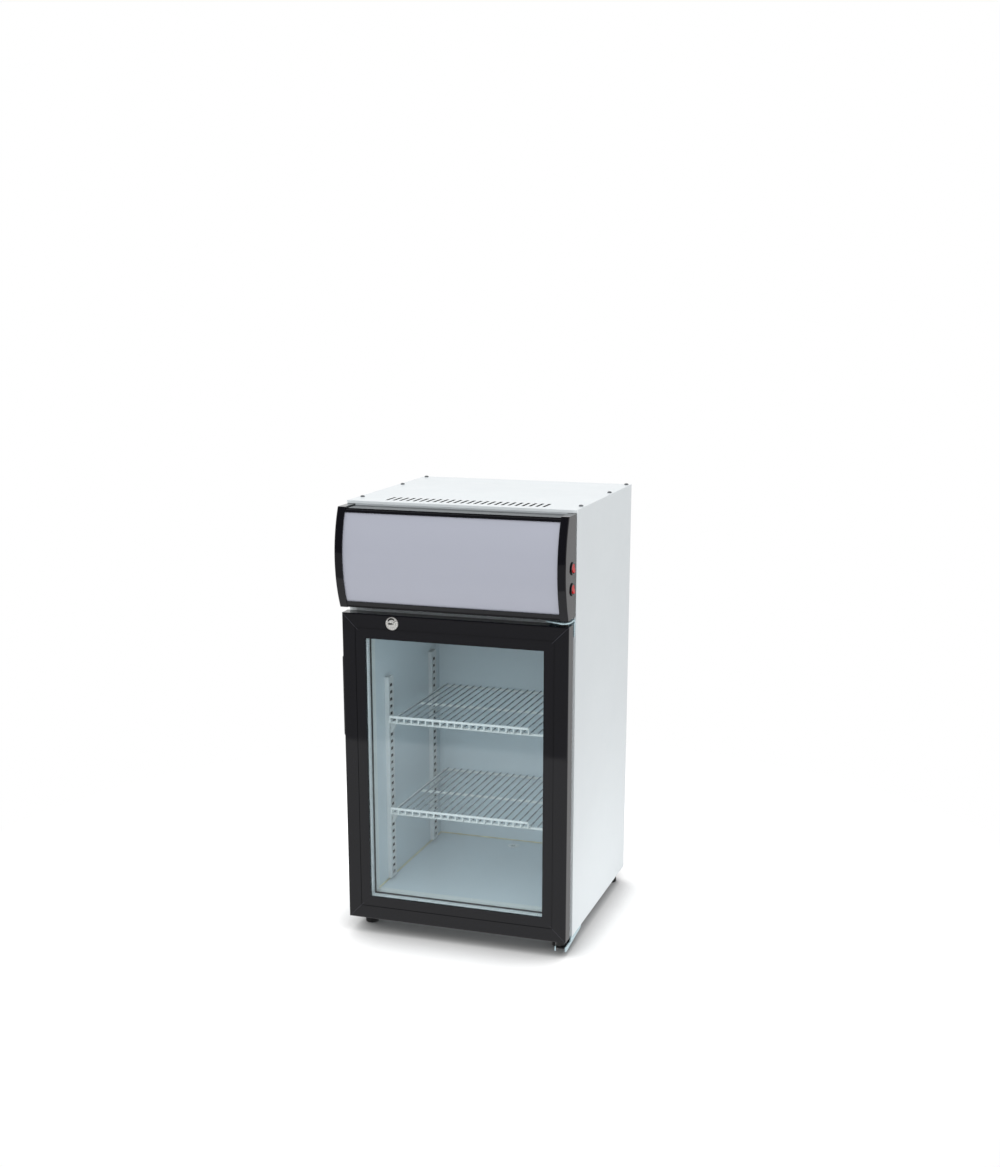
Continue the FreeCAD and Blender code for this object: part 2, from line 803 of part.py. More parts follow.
def drain_tube():
    """A flanged tube from the floor of the cold space out through the base."""
    tube_body = body("drain_tube")
    low = f"{FLOOR} - floor_wall - drain_tail"
    pad(tube_body, "XY", [("0", DRAIN_Y, "drain_outer", ROUND_COUNT)], low, FLOOR)
    pad(tube_body, "XY", [("0", DRAIN_Y, "drain_flange", ROUND_COUNT)], FLOOR, f"{FLOOR} + drain_lip")
    pocket(tube_body, "XY", [("0", DRAIN_Y, "drain_bore", ROUND_COUNT)], low, f"{FLOOR} + drain_lip")
    return tube_body


# Feet

def feet():
    """Tapered cups on threaded studs."""
    members = []
    for index, (x, y) in enumerate(FEET, start=1):
        foot = body(f"foot_{index}")
        rim, shoulder = (("0", "0", width, ROUND_COUNT) for width in ("foot_bottom", "foot_shoulder"))
        loft(foot, "XY", [(rim, "0"), (shoulder, "foot_cup")])
        pad(foot, "XY", [("0", "0", "foot_collar", ROUND_COUNT)], "foot_cup", "foot_height")
        pad(foot, "XY", [("0", "0", "foot_stud", FEW_COUNT)], "foot_height", "foot_height + stud_length")
        members.append(place(foot, x, y, "0"))
    return group("feet", members)


# Hinges

def hinge_bracket():
    """A joggled channel under the door's corner: a short leg inside, a long tapered one outside."""
    bracket = body("hinge_bracket")
    low = f"({DOOR_BOTTOM} - bush_drop)"
    high = "foot_height"
    nose = f"{PIN_Y} - bracket_nose"
    tail = f"{FRONT} + bracket_tail"
    step = f"{FRONT} - door_gap / 2"
    left, right = f"{PIN_X} - bracket_left", f"{PIN_X} + bracket_right"
    under_low, under_high = f"{low} - bracket_gauge", f"{high} - bracket_gauge"
    web = [(nose, under_low), (step, under_low), (FRONT, under_high), (tail, under_high),
           (tail, high), (FRONT, high), (step, low), (nose, low)]
    pad(bracket, "YZ", [web], left, right)
    short_leg = rectangle((nose, step), (f"{low} - bracket_leg", low))
    pad(bracket, "YZ", [short_leg], left, f"{left} + bracket_gauge")
    long_leg = [(nose, f"{low} - bracket_leg"), (tail, f"{high} - bracket_heel"), (tail, high), (FRONT, high),
                (step, low), (nose, low)]
    pad(bracket, "YZ", [long_leg], f"{right} - bracket_gauge", right)
    holes = [(PIN_X, PIN_Y, "pin_diameter + 2 * pin_clear")]
    holes += [(x, y, SCREW_HOLE, FEW_COUNT) for x, y in BRACKET_SCREWS]
    pocket(bracket, "XY", holes, under_low, high)
    return bracket


def hinge_plate():
    """A plate over the door's corner, folded down against the cabinet's front."""
    plate = body("hinge_plate")
    low = f"{DOOR_TOP} + plate_lift"
    high = f"{low} + plate_gauge"
    left, right = f"{PIN_X} - plate_left", f"{PIN_X} + plate_nose"
    nose = f"{PIN_Y} - plate_nose"
    plan = [(left, FRONT), (left, PIN_Y), (PIN_X, nose, "plate_nose", 1), (right, PIN_Y), (right, FRONT)]
    pad(plate, "XY", [plan], low, high)
    flange = rectangle((left, right), (f"{FRONT} - plate_gauge", FRONT))
    pad(plate, "XY", [flange], f"{DOOR_TOP} - plate_flange", high)
    pocket(plate, "XY", [(PIN_X, PIN_Y, "pin_diameter + 2 * pin_clear")], low, high)
    holes = [(x, z, SCREW_HOLE, FEW_COUNT) for x, z in PLATE_SCREWS]
    pocket(plate, "XZ", holes, f"{FRONT} - plate_gauge", FRONT)
    return plate


def hinge_pins():
    bottom = rod("bottom_pin", "z", "pin_diameter", (PIN_X, PIN_Y),
                 f"{DOOR_BOTTOM} - bush_drop - bracket_gauge", f"{DOOR_BOTTOM} + bush_depth")
    top = rod("top_pin", "z", "pin_diameter", (PIN_X, PIN_Y), f"{DOOR_TOP} - bush_depth",
              f"{DOOR_TOP} + plate_lift + plate_gauge")
    return group("hinge_pins", [bottom, top])


def hinge_screws():
    """Two screws up through the bracket and two through the plate's flange."""
    upwards = FreeCAD.Rotation(V(1, 0, 0), 180)
    backwards = FreeCAD.Rotation(V(1, 0, 0), 90)
    members = [screw(f"bracket_screw_{index}", "bracket_gauge + gauge", upwards,
                     (x, y, "foot_height - bracket_gauge"))
               for index, (x, y) in enumerate(BRACKET_SCREWS, start=1)]
    members += [screw(f"plate_screw_{index}", "plate_gauge + gauge", backwards,
                      (x, f"{FRONT} - plate_gauge", z))
                for index, (x, z) in enumerate(PLATE_SCREWS, start=1)]
    return group("hinge_screws", members)


def hinge_bushes():
    """Flanged nylon bushes in the door's corners, one at each pin."""
    members = []
    seats = {
        "bottom": (f"{DOOR_BOTTOM} - bush_drop + run_clear", DOOR_BOTTOM,
                   DOOR_BOTTOM, f"{DOOR_BOTTOM} + bush_depth"),
        "top": (DOOR_TOP, f"{DOOR_TOP} + plate_lift - run_clear",
                f"{DOOR_TOP} - bush_depth", DOOR_TOP),
    }
    for end, (flange_low, flange_high, sleeve_low, sleeve_high) in seats.items():
        centre = (PIN_X, PIN_Y)
        flange = rod(f"{end}_bush_flange", "z", "bush_flange", centre, flange_low, flange_high, ROUND_COUNT)
        sleeve = rod(f"{end}_bush_sleeve", "z", "bush_diameter", centre, sleeve_low, sleeve_high, ROUND_COUNT)
        bore = rod(f"{end}_bush_bore", "z", "pin_diameter + 2 * pin_clear", centre,
                   f"{DOOR_BOTTOM} - bush_drop" if end == "bottom" else f"{DOOR_TOP} - bush_depth",
                   f"{DOOR_BOTTOM} + bush_depth" if end == "bottom" else f"{DOOR_TOP} + plate_lift")
        members.append(cut(f"{end}_bush", fuse(f"{end}_bush_blank", flange, sleeve), bore))
    return group("hinge_bushes", members)


# Door

def bush_seat(label, end):
    low, high = {
        "bottom": (DOOR_BOTTOM, f"{DOOR_BOTTOM} + bush_depth"),
        "top": (f"{DOOR_TOP} - bush_depth", DOOR_TOP),
    }[end]
    return rod(label, "z", "bush_diameter + 2 * bush_clear", (PIN_X, PIN_Y), low, high, ROUND_COUNT)


def glass_channel():
    return GLASS_Y, f"{GLASS_Y} + {GLASS_DEPTH} + pane_clear"


def door_rail(label, edge, inward):
    """A mitred rail across the door, with a glass channel and a groove in its face."""
    bar = body(f"{label}_bar")
    inner = f"{edge} + {inward} * rail_width"
    shape = [(f"-{DOOR_X}", edge), (DOOR_X, edge), (f"{DOOR_X} - rail_width", inner),
             (f"rail_width - {DOOR_X}", inner)]
    pad(bar, "XZ", [shape], DOOR_FRONT, DOOR_BACK)
    channel = rectangle(glass_channel(), (f"{inner} - {inward} * pane_bite", inner))
    pocket(bar, "YZ", [channel], f"-{DOOR_X}", DOOR_X)
    line = f"{edge} + {inward} * groove_inset"
    groove = rectangle((DOOR_FRONT, f"{DOOR_FRONT} + groove_depth"),
                       (line, f"{line} + {inward} * groove_width"))
    pocket(bar, "YZ", [groove], f"-{DOOR_X}", DOOR_X)
    face, rim = number(DOOR_FRONT), number(edge)
    dress_edges(bar, "Fillet", "rail_round", lambda edge: lies_at(edge, y=face, z=rim))
    return bar


def door_stile(label, side):
    """A mitred upright of the door, with the same channel and groove."""
    bar = body(f"{label}_bar")
    edge = f"{side} * {DOOR_X}"
    inner = f"{side} * ({DOOR_X} - rail_width)"
    shape = [(edge, DOOR_BOTTOM), (edge, DOOR_TOP), (inner, f"{DOOR_TOP} - rail_width"),
             (inner, f"{DOOR_BOTTOM} + rail_width")]
    pad(bar, "XZ", [shape], DOOR_FRONT, DOOR_BACK)
    channel = rectangle((f"{side} * ({DOOR_X} - rail_width + pane_bite)", inner), glass_channel())
    pocket(bar, "XY", [channel], DOOR_BOTTOM, DOOR_TOP)
    line = f"{DOOR_X} - groove_inset"
    groove = rectangle((f"{side} * ({line})", f"{side} * ({line} - groove_width)"),
                       (DOOR_FRONT, f"{DOOR_FRONT} + groove_depth"))
    pocket(bar, "XY", [groove], DOOR_BOTTOM, DOOR_TOP)
    face, rim = number(DOOR_FRONT), number(edge)
    dress_edges(bar, "Fillet", "rail_round", lambda edge: lies_at(edge, x=rim, y=face))
    if side < 0:
        add_grip(bar)
    return bar


def add_grip(stile):
    """The raised finger grip on the free edge of the door, with sloped ends."""
    high = f"{DOOR_TOP} - grip_drop"
    low = f"{high} - grip_length"
    edge = f"-{DOOR_X}"
    proud = f"-{DOOR_X} - grip_proud"
    profile = [(edge, low), (edge, high),
               (proud, f"{high} - 2 * grip_proud"), (proud, f"{low} + 2 * grip_proud")]
    start = f"{DOOR_FRONT} + rail_round"
    pad(stile, "XZ", [profile], start, f"{start} + grip_depth")


def door_frame():
    lock_hole = rod("lock_hole", "y", "lock_barrel + 2 * lock_clear", (LOCK_X, LOCK_Z),
                    DOOR_FRONT, DOOR_BACK, ROUND_COUNT)
    top = cut("door_rail_top", door_rail("door_rail_top", DOOR_TOP, "-1"),
              bush_seat("top_seat_rail", "top"), lock_hole)
    bottom = cut("door_rail_bottom", door_rail("door_rail_bottom", DOOR_BOTTOM, "1"),
                 bush_seat("bottom_seat_rail", "bottom"))
    right = cut("door_stile_right", door_stile("door_stile_right", 1),
                bush_seat("top_seat_stile", "top"), bush_seat("bottom_seat_stile", "bottom"))
    left = door_stile("door_stile_left", -1)
    left.Label = "door_stile_left"
    return [top, bottom, right, left]


def pane(label, low):
    return box(label, spread(GLASS_X), (low, f"{low} + pane_thickness"), (GLASS_LOW, GLASS_HIGH))


def ring(label, half, y, z, width):
    """A four-sided frame of one width."""
    outer = box(f"{label}_outer", spread(half), y, z)
    inner = box(f"{label}_inner", spread(f"({half} - {width})"), y,
                (f"{z[0]} + {width}", f"{z[1]} - {width}"))
    return cut(label, outer, inner)


def glazing():
    between = f"{GLASS_Y} + pane_thickness"
    spacer = ring("pane_spacer", f"({GLASS_X} - spacer_inset)", (between, f"{between} + pane_gap"),
                  (f"{GLASS_LOW} + spacer_inset", f"{GLASS_HIGH} - spacer_inset"), "spacer_height")
    return [pane("outer_pane", GLASS_Y), pane("inner_pane", f"{between} + pane_gap"), spacer]


def door_gasket():
    return ring("door_gasket", f"({DOOR_X} - gasket_side_inset)", (DOOR_BACK, f"{FRONT} - gasket_clear"),
                (f"{DOOR_BOTTOM} + gasket_end_inset", f"{DOOR_TOP} - gasket_end_inset"), "gasket_width")


def lock_housing():
    centre = (LOCK_X, LOCK_Z)
    face = f"{DOOR_FRONT} - lock_proud"
    rosette = rod("lock_rosette_blank", "y", "lock_rosette", centre, face, DOOR_FRONT, WIDE_COUNT)
    barrel = rod("lock_barrel_blank", "y", "lock_barrel", centre, DOOR_FRONT, DOOR_BACK, ROUND_COUNT)
    bore = rod("lock_bore", "y", "lock_plug + 2 * lock_clear", centre, face, DOOR_BACK)
    return cut("lock_housing", fuse("lock_housing_blank", rosette, barrel), bore)


def lock_cylinder():
    """The plug that the key turns, with a cam at its back that rises behind the canopy's rail."""
    centre = (LOCK_X, LOCK_Z)
    face = f"{DOOR_FRONT} - lock_proud"
    cam_low = f"{DOOR_BACK} + cam_room"
    cam_high = f"{cam_low} + cam_gauge"
    plug = rod("lock_plug_blank", "y", "lock_plug", centre, face, cam_low)
    cam = body("lock_cam")
    half = "cam_width / 2"
    tip = f"{LOCK_X} - cam_length"
    outline = [(LOCK_X, f"{LOCK_Z} - {half}", half, 1), (f"{LOCK_X} + {half}", LOCK_Z, half, 1),
               (LOCK_X, f"{LOCK_Z} + {half}"), (tip, f"{LOCK_Z} + {half}"), (tip, f"{LOCK_Z} - {half}")]
    pad(cam, "XZ", [outline], cam_low, cam_high)
    key = box("key_slot_room", (f"{LOCK_X} - key_width / 2", f"{LOCK_X} + key_width / 2"),
              (face, f"{face} + key_depth"), (f"{LOCK_Z} - key_slot / 2", f"{LOCK_Z} + key_slot / 2"))
    return cut("lock_cylinder", fuse("lock_cylinder_blank", plug, cam), key)


# Canopy

def bow(height, inset):
    """The canopy's front curve: Y at a height, some way behind its face."""
    return f"({BOW_CENTRE} - sqrt(({BOW_RADIUS} - {inset}) ^ 2 - ({height} - {CANOPY_MID}) ^ 2))"


def bowed_outline(low, high, inset, back):
    """A side view closed by the front curve: up the curve, then round by the back."""
    return [(bow(low, inset), low, f"{BOW_RADIUS} - {inset}", -1), (bow(high, inset), high),
            (back, high), (back, low)]


def canopy_end(label, side):
    """A moulded end cap: a side wall with bands along the front curve, the top and the bottom."""
    cap = body(f"{label}_cap")
    outer = f"{side} * {CANOPY_X}"
    inner = f"{side} * ({CANOPY_X} - cap_width)"
    wall = f"{side} * ({CANOPY_X} - cap_wall)"
    low, high = (outer, inner) if side < 0 else (inner, outer)
    pad(cap, "YZ", [bowed_outline(CANOPY_LOW, CANOPY_HIGH, "0", FRONT)], low, high)
    low, high = (wall, inner) if side < 0 else (inner, wall)
    hollow = bowed_outline(f"({CANOPY_LOW} + cap_wall)", f"({CANOPY_HIGH} - cap_wall)", "cap_wall", FRONT)
    pocket(cap, "YZ", [hollow], low, high)
    bulge, reach = number(BOW_RADIUS), number(outer)
    dress_edges(cap, "Chamfer", "cap_bevel", lambda edge: lies_at(edge, x=reach)
                and abs(getattr(edge.Curve, "Radius", 0) - bulge) < SAME_PLACE)
    return cap


def canopy_ends():
    left = canopy_end("canopy_end_left", -1)
    left.Label = "canopy_end_left"
    low = f"{CANOPY_X} - cap_wall"
    holes = [rod(f"switch_hole_{index}", "x", "switch_barrel + 2 * foot_clear", (SWITCH_Y, z), low, CANOPY_X,
                 ROUND_COUNT) for index, z in enumerate(SWITCHES.values(), start=1)]
    return [left, cut("canopy_end_right", canopy_end("canopy_end_right", 1), *holes)]


def canopy_top_rail():
    """The upper rail, set a little back from the end caps' fronts and below their tops."""
    rail = body("canopy_top_rail")
    top = f"({CANOPY_HIGH} - rail_drop)"
    face = f"({CANOPY_HIGH} - top_face)"
    ledge = f"({CANOPY_HIGH} - top_ledge)"
    under = f"({CANOPY_HIGH} - top_plate)"
    brow = f"{bow(top, 'rail_setback')} + top_setback"
    outline = [(bow(face, "rail_setback"), face, f"{BOW_RADIUS} - rail_setback", -1),
               (bow(ledge, "rail_setback"), ledge), (brow, ledge), (brow, top), (FRONT, top), (FRONT, under),
               (bow(under, "cap_wall"), under, f"{BOW_RADIUS} - cap_wall", 1), (bow(face, "cap_wall"), face)]
    pad(rail, "YZ", [outline], *spread(f"({CANOPY_X} - cap_width)"))
    return rail


def canopy_bottom_rail():
    """The lower rail stops short of the cabinet, which leaves the lock's cam its room."""
    rail = body("canopy_bottom_rail")
    face = f"({CANOPY_LOW} + bottom_face)"
    ledge = f"({CANOPY_LOW} + bottom_ledge)"
    over = f"({CANOPY_LOW} + bottom_plate)"
    chin = f"{bow(CANOPY_LOW, 'rail_setback')} + bottom_setback"
    heel = f"{FRONT} - cam_gap"
    outline = [(bow(ledge, "rail_setback"), ledge, f"{BOW_RADIUS} - rail_setback", -1),
               (bow(face, "rail_setback"), face),
               (bow(face, "cap_wall"), face, f"{BOW_RADIUS} - cap_wall", 1), (bow(over, "cap_wall"), over),
               (heel, over), (heel, CANOPY_LOW), (chin, CANOPY_LOW), (chin, ledge)]
    pad(rail, "YZ", [outline], *spread(f"({CANOPY_X} - cap_width)"))
    return rail


def canopy_panel():
    """The bowed translucent sheet, held behind the rails and inside the end caps."""
    panel = body("canopy_panel")
    low = f"({CANOPY_LOW} + bottom_plate + panel_clear)"
    high = f"({CANOPY_HIGH} - top_plate - panel_clear)"
    near = "(cap_wall + panel_clear)"
    far = "(cap_wall + panel_clear + panel_thickness)"
    half = f"({CANOPY_X} - cap_width + panel_bite)"
    pad(panel, "YZ", [[(bow(low, near), low, f"{BOW_RADIUS} - {near}", -1), (bow(high, near), high),
                       (bow(high, far), high, f"{BOW_RADIUS} - {far}", 1), (bow(low, far), low)]],
        *spread(half))
    return panel


def canopy_lamp():
    """A lamp bar on the front panel, with a bowed cover."""
    lamp = body("canopy_lamp")
    low, high = f"{CANOPY_MID} - lamp_height / 2", f"{CANOPY_MID} + lamp_height / 2"
    shoulder = f"{FRONT} - lamp_edge"
    pad(lamp, "YZ", [[(FRONT, low), (shoulder, low, "lamp_bow", -1), (shoulder, high), (FRONT, high)]],
        *spread(f"({CANOPY_X} - lamp_inset)"))
    return lamp


# Switches on the canopy's right end

SWITCHES = {
    "light": f"({CANOPY_MID} - switch_drop)",
    "power": f"({CANOPY_MID} - switch_drop - switch_pitch)",
}


def switch_housings():
    members = []
    for name, z in SWITCHES.items():
        centre = (SWITCH_Y, z)
        face = f"{CANOPY_X} + bezel_thickness"
        bezel = rod(f"{name}_bezel", "x", "switch_bezel", centre, CANOPY_X, face, WIDE_COUNT)
        barrel = rod(f"{name}_barrel", "x", "switch_barrel", centre, f"{CANOPY_X} - switch_length", CANOPY_X,
                     ROUND_COUNT)
        bore = rod(f"{name}_bore", "x", "switch_bore", centre, f"{face} - bore_depth", face, WIDE_COUNT)
        members.append(cut(f"{name}_switch", fuse(f"{name}_switch_blank", bezel, barrel), bore))
    return group("switch_housings", members)


def rocker(name, z):
    """A hollow-faced rocker, tipped so that its lower end stands out."""
    paddle = body(f"{name}_paddle")
    side_view = [("-rocker_back", "-rocker_half"), ("rocker_tip", "-rocker_half"), ("rocker_middle", "0"),
                 ("rocker_tip", "rocker_half"), ("-rocker_back", "rocker_half")]
    pad(paddle, "XZ", [side_view], "-rocker_width / 2", "rocker_width / 2")
    disc = rod(f"{name}_disc", "x", "rocker_width", ("0", "0"), "-rocker_back", "rocker_tip", WIDE_COUNT)
    piece = doc.addObject("Part::Common", f"{name}_rocker")
    piece.Base = paddle
    piece.Tool = disc
    piece.Placement = FreeCAD.Placement(V(), FreeCAD.Rotation(V(0, -1, 0), number("rocker_tilt")))
    return place(piece, f"{CANOPY_X} - rocker_sink", SWITCH_Y, z)


# Shelves

def flat_wire(x, y, width):
    """A six-sided section of a round rod, with a flat at its top and bottom."""
    return polygon(x, y, f"{1 / math.cos(math.pi / FEW_COUNT):.12f} * {width}", FEW_COUNT, 0)


def standard_places():
    """The four uprights: a side, and the stretch of Y that each covers."""
    front = f"{FRONT} + standard_front"
    back = f"{LINER_BACK} - standard_back"
    return [(side, *stretch)
            for side in (-1, 1)
            for stretch in ((front, f"{front} + standard_width"), (f"{back} - standard_width", back))]


def shelf_standards():
    """Slotted channels on the side walls."""
    members = []
    for index, (side, near, far) in enumerate(standard_places(), start=1):
        channel = body(f"standard_{index}")
        wall = f"{side} * {LINER_X}"
        face = f"{side} * ({LINER_X} - standard_depth)"
        web = f"{side} * ({LINER_X} - standard_depth + standard_gauge)"
        plan = [(wall, near), (face, near), (face, far), (wall, far), (wall, f"{far} - standard_gauge"),
                (web, f"{far} - standard_gauge"), (web, f"{near} + standard_gauge"),
                (wall, f"{near} + standard_gauge")]
        pad(channel, "XY", [plan], STANDARD_LOW, f"{STANDARD_LOW} + standard_height")
        middle = f"({near} + {far}) / 2"
        first = f"{STANDARD_LOW} + peg_first"
        slot = rectangle((f"{middle} - peg_width / 2", f"{middle} + peg_width / 2"),
                         (f"{first} - peg_height / 2", f"{first} + peg_height / 2"))
        feature = pocket(channel, "YZ", [slot], f"{face} - standard_gauge", f"{face} + standard_gauge")
        repeat(channel, feature, "Z", "peg_count", "peg_pitch")
        members.append(channel)
    return group("shelf_standards", members)


def peg_level(peg):
    return f"({STANDARD_LOW} + peg_first + {peg} * peg_pitch)"


def shelf_level(peg):
    """The middle of a shelf's rods, when its clips hook into one slot."""
    return f"({peg_level(peg)} + clip_thickness / 2 + shelf_clear + shelf_rod / 2)"


def shelf_clips():
    """Tongues that hook through the slots and carry the shelves' side rods."""
    members = []
    for peg in ("lower_peg", "upper_peg"):
        low = f"{peg_level(peg)} - clip_thickness / 2"
        high = f"{peg_level(peg)} + clip_thickness / 2"
        for index, (side, near, far) in enumerate(standard_places(), start=1):
            clip = body(f"{peg}_clip_{index}")
            face = f"{side} * ({LINER_X} - standard_depth)"
            tip = f"{side} * ({LINER_X} - standard_depth - clip_reach)"
            hook = f"{side} * ({LINER_X} - standard_depth + clip_hook)"
            drop = f"{low} - clip_heel"
            heel = f"{side} * ({LINER_X} - standard_depth - clip_thickness)"
            profile = [(hook, low), (face, low), (face, drop), (heel, drop),
                       (tip, low), (tip, high), (hook, high)]
            middle = f"({near} + {far}) / 2"
            pad(clip, "XZ", [profile], f"{middle} - clip_width / 2", f"{middle} + clip_width / 2")
            members.append(clip)
    return group("shelf_clips", members)


def shelf(label, peg):
    """A welded shelf: rods below, wires on them that run on and turn up, and a fence rail on their tips."""
    grid = body(label)
    front = f"({FRONT} + shelf_front)"
    back = f"({LINER_BACK} - shelf_back)"
    middle = f"({front} + {back}) / 2"
    fence = f"({front} - fence_reach)"
    half = "shelf_rod / 2"
    front_end, rear_end = f"{front} - {half}", f"{back} + {half}"
    pad(grid, "XZ", [flat_wire(x, "0", "shelf_rod") for x in spread(SHELF_X)], front_end, rear_end)
    pad(grid, "YZ", [flat_wire(y, "0", "shelf_rod") for y in (front, middle, back)], *spread(SHELF_X))
    first = f"wire_side - {SHELF_X}"
    tread = f"{half} + shelf_wire"
    near, far = f"{fence} - shelf_wire / 2", f"{fence} + shelf_wire / 2"
    tip = f"fence_rise - {half}"
    bent = [(near, half), (rear_end, half), (rear_end, tread), (far, tread), (far, tip), (near, tip)]
    wire = pad(grid, "YZ", [bent], f"{first} - shelf_wire / 2", f"{first} + shelf_wire / 2")
    repeat(grid, wire, "X", "fence_count", WIRE_PITCH)
    plain = f"{first} + fence_count * {WIRE_PITCH}"
    wire = pad(grid, "YZ", [rectangle((front_end, rear_end), (half, tread))], f"{plain} - shelf_wire / 2",
               f"{plain} + shelf_wire / 2")
    repeat(grid, wire, "X", "wire_count - fence_count", WIRE_PITCH)
    fence_end = f"{plain} - {WIRE_PITCH} + {half}"
    pad(grid, "YZ", [flat_wire(fence, "fence_rise", "shelf_rod")], f"{first} - {half}", fence_end)
    return place(grid, "0", "0", shelf_level(peg))


# Fans

def fan_rotor(label, hub, tip, depth, spot):
    """A hub on a shaft along Y with pitched blades all round."""
    rotor = body(label)
    pad(rotor, "XZ", [("0", "0", hub, ROUND_COUNT)], "0", depth)
    reach = f"sqrt(({tip}) ^ 2 - ({hub}) ^ 2) / 2"
    blade = [("0", f"-({hub}) / 2"), ("blade_gauge", f"-({hub}) / 2"), (depth, f"({hub}) / 2"),
             (f"{depth} - blade_gauge", f"({hub}) / 2")]
    repeat_round(rotor, pad(rotor, "YZ", [blade], f"({hub}) / 4", reach), "Y", "fan_blades")
    pocket(rotor, "XZ", [("0", "0", "shaft_diameter + 2 * shaft_clear")], "0", f"{depth} * {BORE_SHARE}")
    return place(rotor, *spot)


def fan_mount(label, x, z, front, hole, hub, motor_depth, rotor_depth):
    """Crossed struts with a motor and its shaft, to be joined to a frame or a cover."""
    half = f"(({hole}) / 2 + strut_gauge)"
    behind = f"{front} + strut_gauge"
    motor_end = f"{front} + {motor_depth}"
    return [
        box(f"{label}_strut_across", (f"{x} - {half}", f"{x} + {half}"), (front, behind),
            (f"{z} - strut_width / 2", f"{z} + strut_width / 2")),
        box(f"{label}_strut_up", (f"{x} - strut_width / 2", f"{x} + strut_width / 2"), (front, behind),
            (f"{z} - {half}", f"{z} + {half}")),
        rod(f"{label}_motor", "y", hub, (x, z), front, motor_end, ROUND_COUNT),
        rod(f"{label}_shaft", "y", "shaft_diameter", (x, z), motor_end,
            f"{motor_end} + rotor_gap + {rotor_depth} * {SHAFT_SHARE}"),
    ]


# Evaporator

def finned_block(label, x, y, z):
    """A coil block: fins side by side between two end bars."""
    block = body(label)
    pad(block, "XZ", [rectangle(x, z)], *y)
    count = f"floor(({x[1]} - ({x[0]}) - 2 * fin_border) / fin_pitch)"
    first = f"{x[0]} + fin_border"
    gap = rectangle((first, f"{first} + fin_pitch - fin_gauge"),
                    (f"{z[0]} + fin_border", f"{z[1]} - fin_border"))
    repeat(block, pocket(block, "XZ", [gap], *y), "X", count, "fin_pitch")
    return block


def evaporator():
    return finned_block("evaporator", spread(f"({LINER_X} - evap_side)"),
                        (f"{EVAP_Y} - evap_depth / 2", f"{EVAP_Y} + evap_depth / 2"),
                        (f"{CEILING} - evap_height", CEILING))


def evaporator_cover():
    """A white cover under the ceiling: front, bottom and ends, a fan opening and return slots."""
    low = f"{CEILING} - cover_height"
    half = f"({LINER_X} - cover_side)"
    shell = box("cover_shell", spread(half), (COVER_FRONT, LINER_BACK), (low, CEILING))
    hollow = box("cover_hollow", spread(f"({half} - cover_gauge)"),
                 (f"{COVER_FRONT} + cover_gauge", LINER_BACK), (f"{low} + cover_gauge", CEILING))
    opening = rod("cover_fan_hole", "y", "evap_fan_hole", ("0", EVAP_FAN_Z), COVER_FRONT,
                  f"{COVER_FRONT} + cover_gauge", WIDE_COUNT)
    slots = body("return_slot_row")
    first = "-(return_slots - 1) * return_pitch / 2"
    slot = rectangle((f"{first} - return_length / 2", f"{first} + return_length / 2"),
                     (f"{LINER_BACK} - return_back", f"{LINER_BACK} - return_back + return_width"))
    repeat(slots, pad(slots, "XY", [slot], low, f"{low} + cover_gauge"), "X", "return_slots", "return_pitch")
    vented = cut("cover_vented", shell, hollow, opening, slots)
    mount = fan_mount("evap", "0", EVAP_FAN_Z, COVER_FRONT, "evap_fan_hole", "evap_hub", "evap_motor_depth",
                      "evap_rotor_depth")
    return fuse("evaporator_cover", vented, *mount)


# Machine space

def condenser():
    return finned_block("condenser", (COND_LEFT, COND_RIGHT), (COND_FRONT, f"{COND_FRONT} + cond_depth"),
                        (DECK_TOP, f"{DECK_TOP} + cond_height"))


def condenser_fan_frame():
    front = f"{COND_FRONT} - cond_fan_depth"
    half = "cond_fan_size / 2"
    block = box("fan_block", (f"{COND_FAN_X} - {half}", f"{COND_FAN_X} + {half}"), (front, COND_FRONT),
                (DECK_TOP, f"{DECK_TOP} + cond_fan_size"))
    bore = rod("fan_duct", "y", "cond_fan_hole", (COND_FAN_X, COND_FAN_Z), front, COND_FRONT,
               WIDE_COUNT)
    mount = fan_mount("cond", COND_FAN_X, COND_FAN_Z, front, "cond_fan_hole", "cond_hub", "cond_motor_depth",
                      "cond_rotor_depth")
    return fuse("condenser_fan_frame", cut("fan_duct_block", block, bore), *mount)


def compressor():
    """A welded shell on a saddle plate, with two pipe stubs on its top."""
    can = body("compressor")
    low, high = "saddle_gauge", "(saddle_gauge + shell_height)"
    pad(can, "XY", [("0", "0", "2 * shell_radius", WIDE_COUNT)], low, high)
    chamfer_end(can, low, "shell_shoulder")
    chamfer_end(can, high, "shell_dome")
    pad(can, "XY", [rectangle(spread(SADDLE_X), spread("(saddle_depth / 2)"))], "0", low)
    stub_high = "stub_top - grommet_height"
    pad(can, "XY", [("0", y, "stub_diameter", FEW_COUNT) for y in spread("stub_offset")],
        f"{stub_high} - stub_length", stub_high)
    return place(can, SHELL_X, SHELL_Y, SADDLE_LOW)


def compressor_grommets():
    members = []
    for across in ("-", "+"):
        for along in ("-", "+"):
            centre = (f"{SHELL_X} {across} ({SADDLE_X} - grommet_inset)",
                      f"{SHELL_Y} {along} (saddle_depth / 2 - grommet_inset)")
            members.append(rod(f"grommet_{len(members) + 1}", "z", "grommet_diameter", centre, DECK_TOP,
                               SADDLE_LOW, ROUND_COUNT))
    return group("compressor_grommets", members)


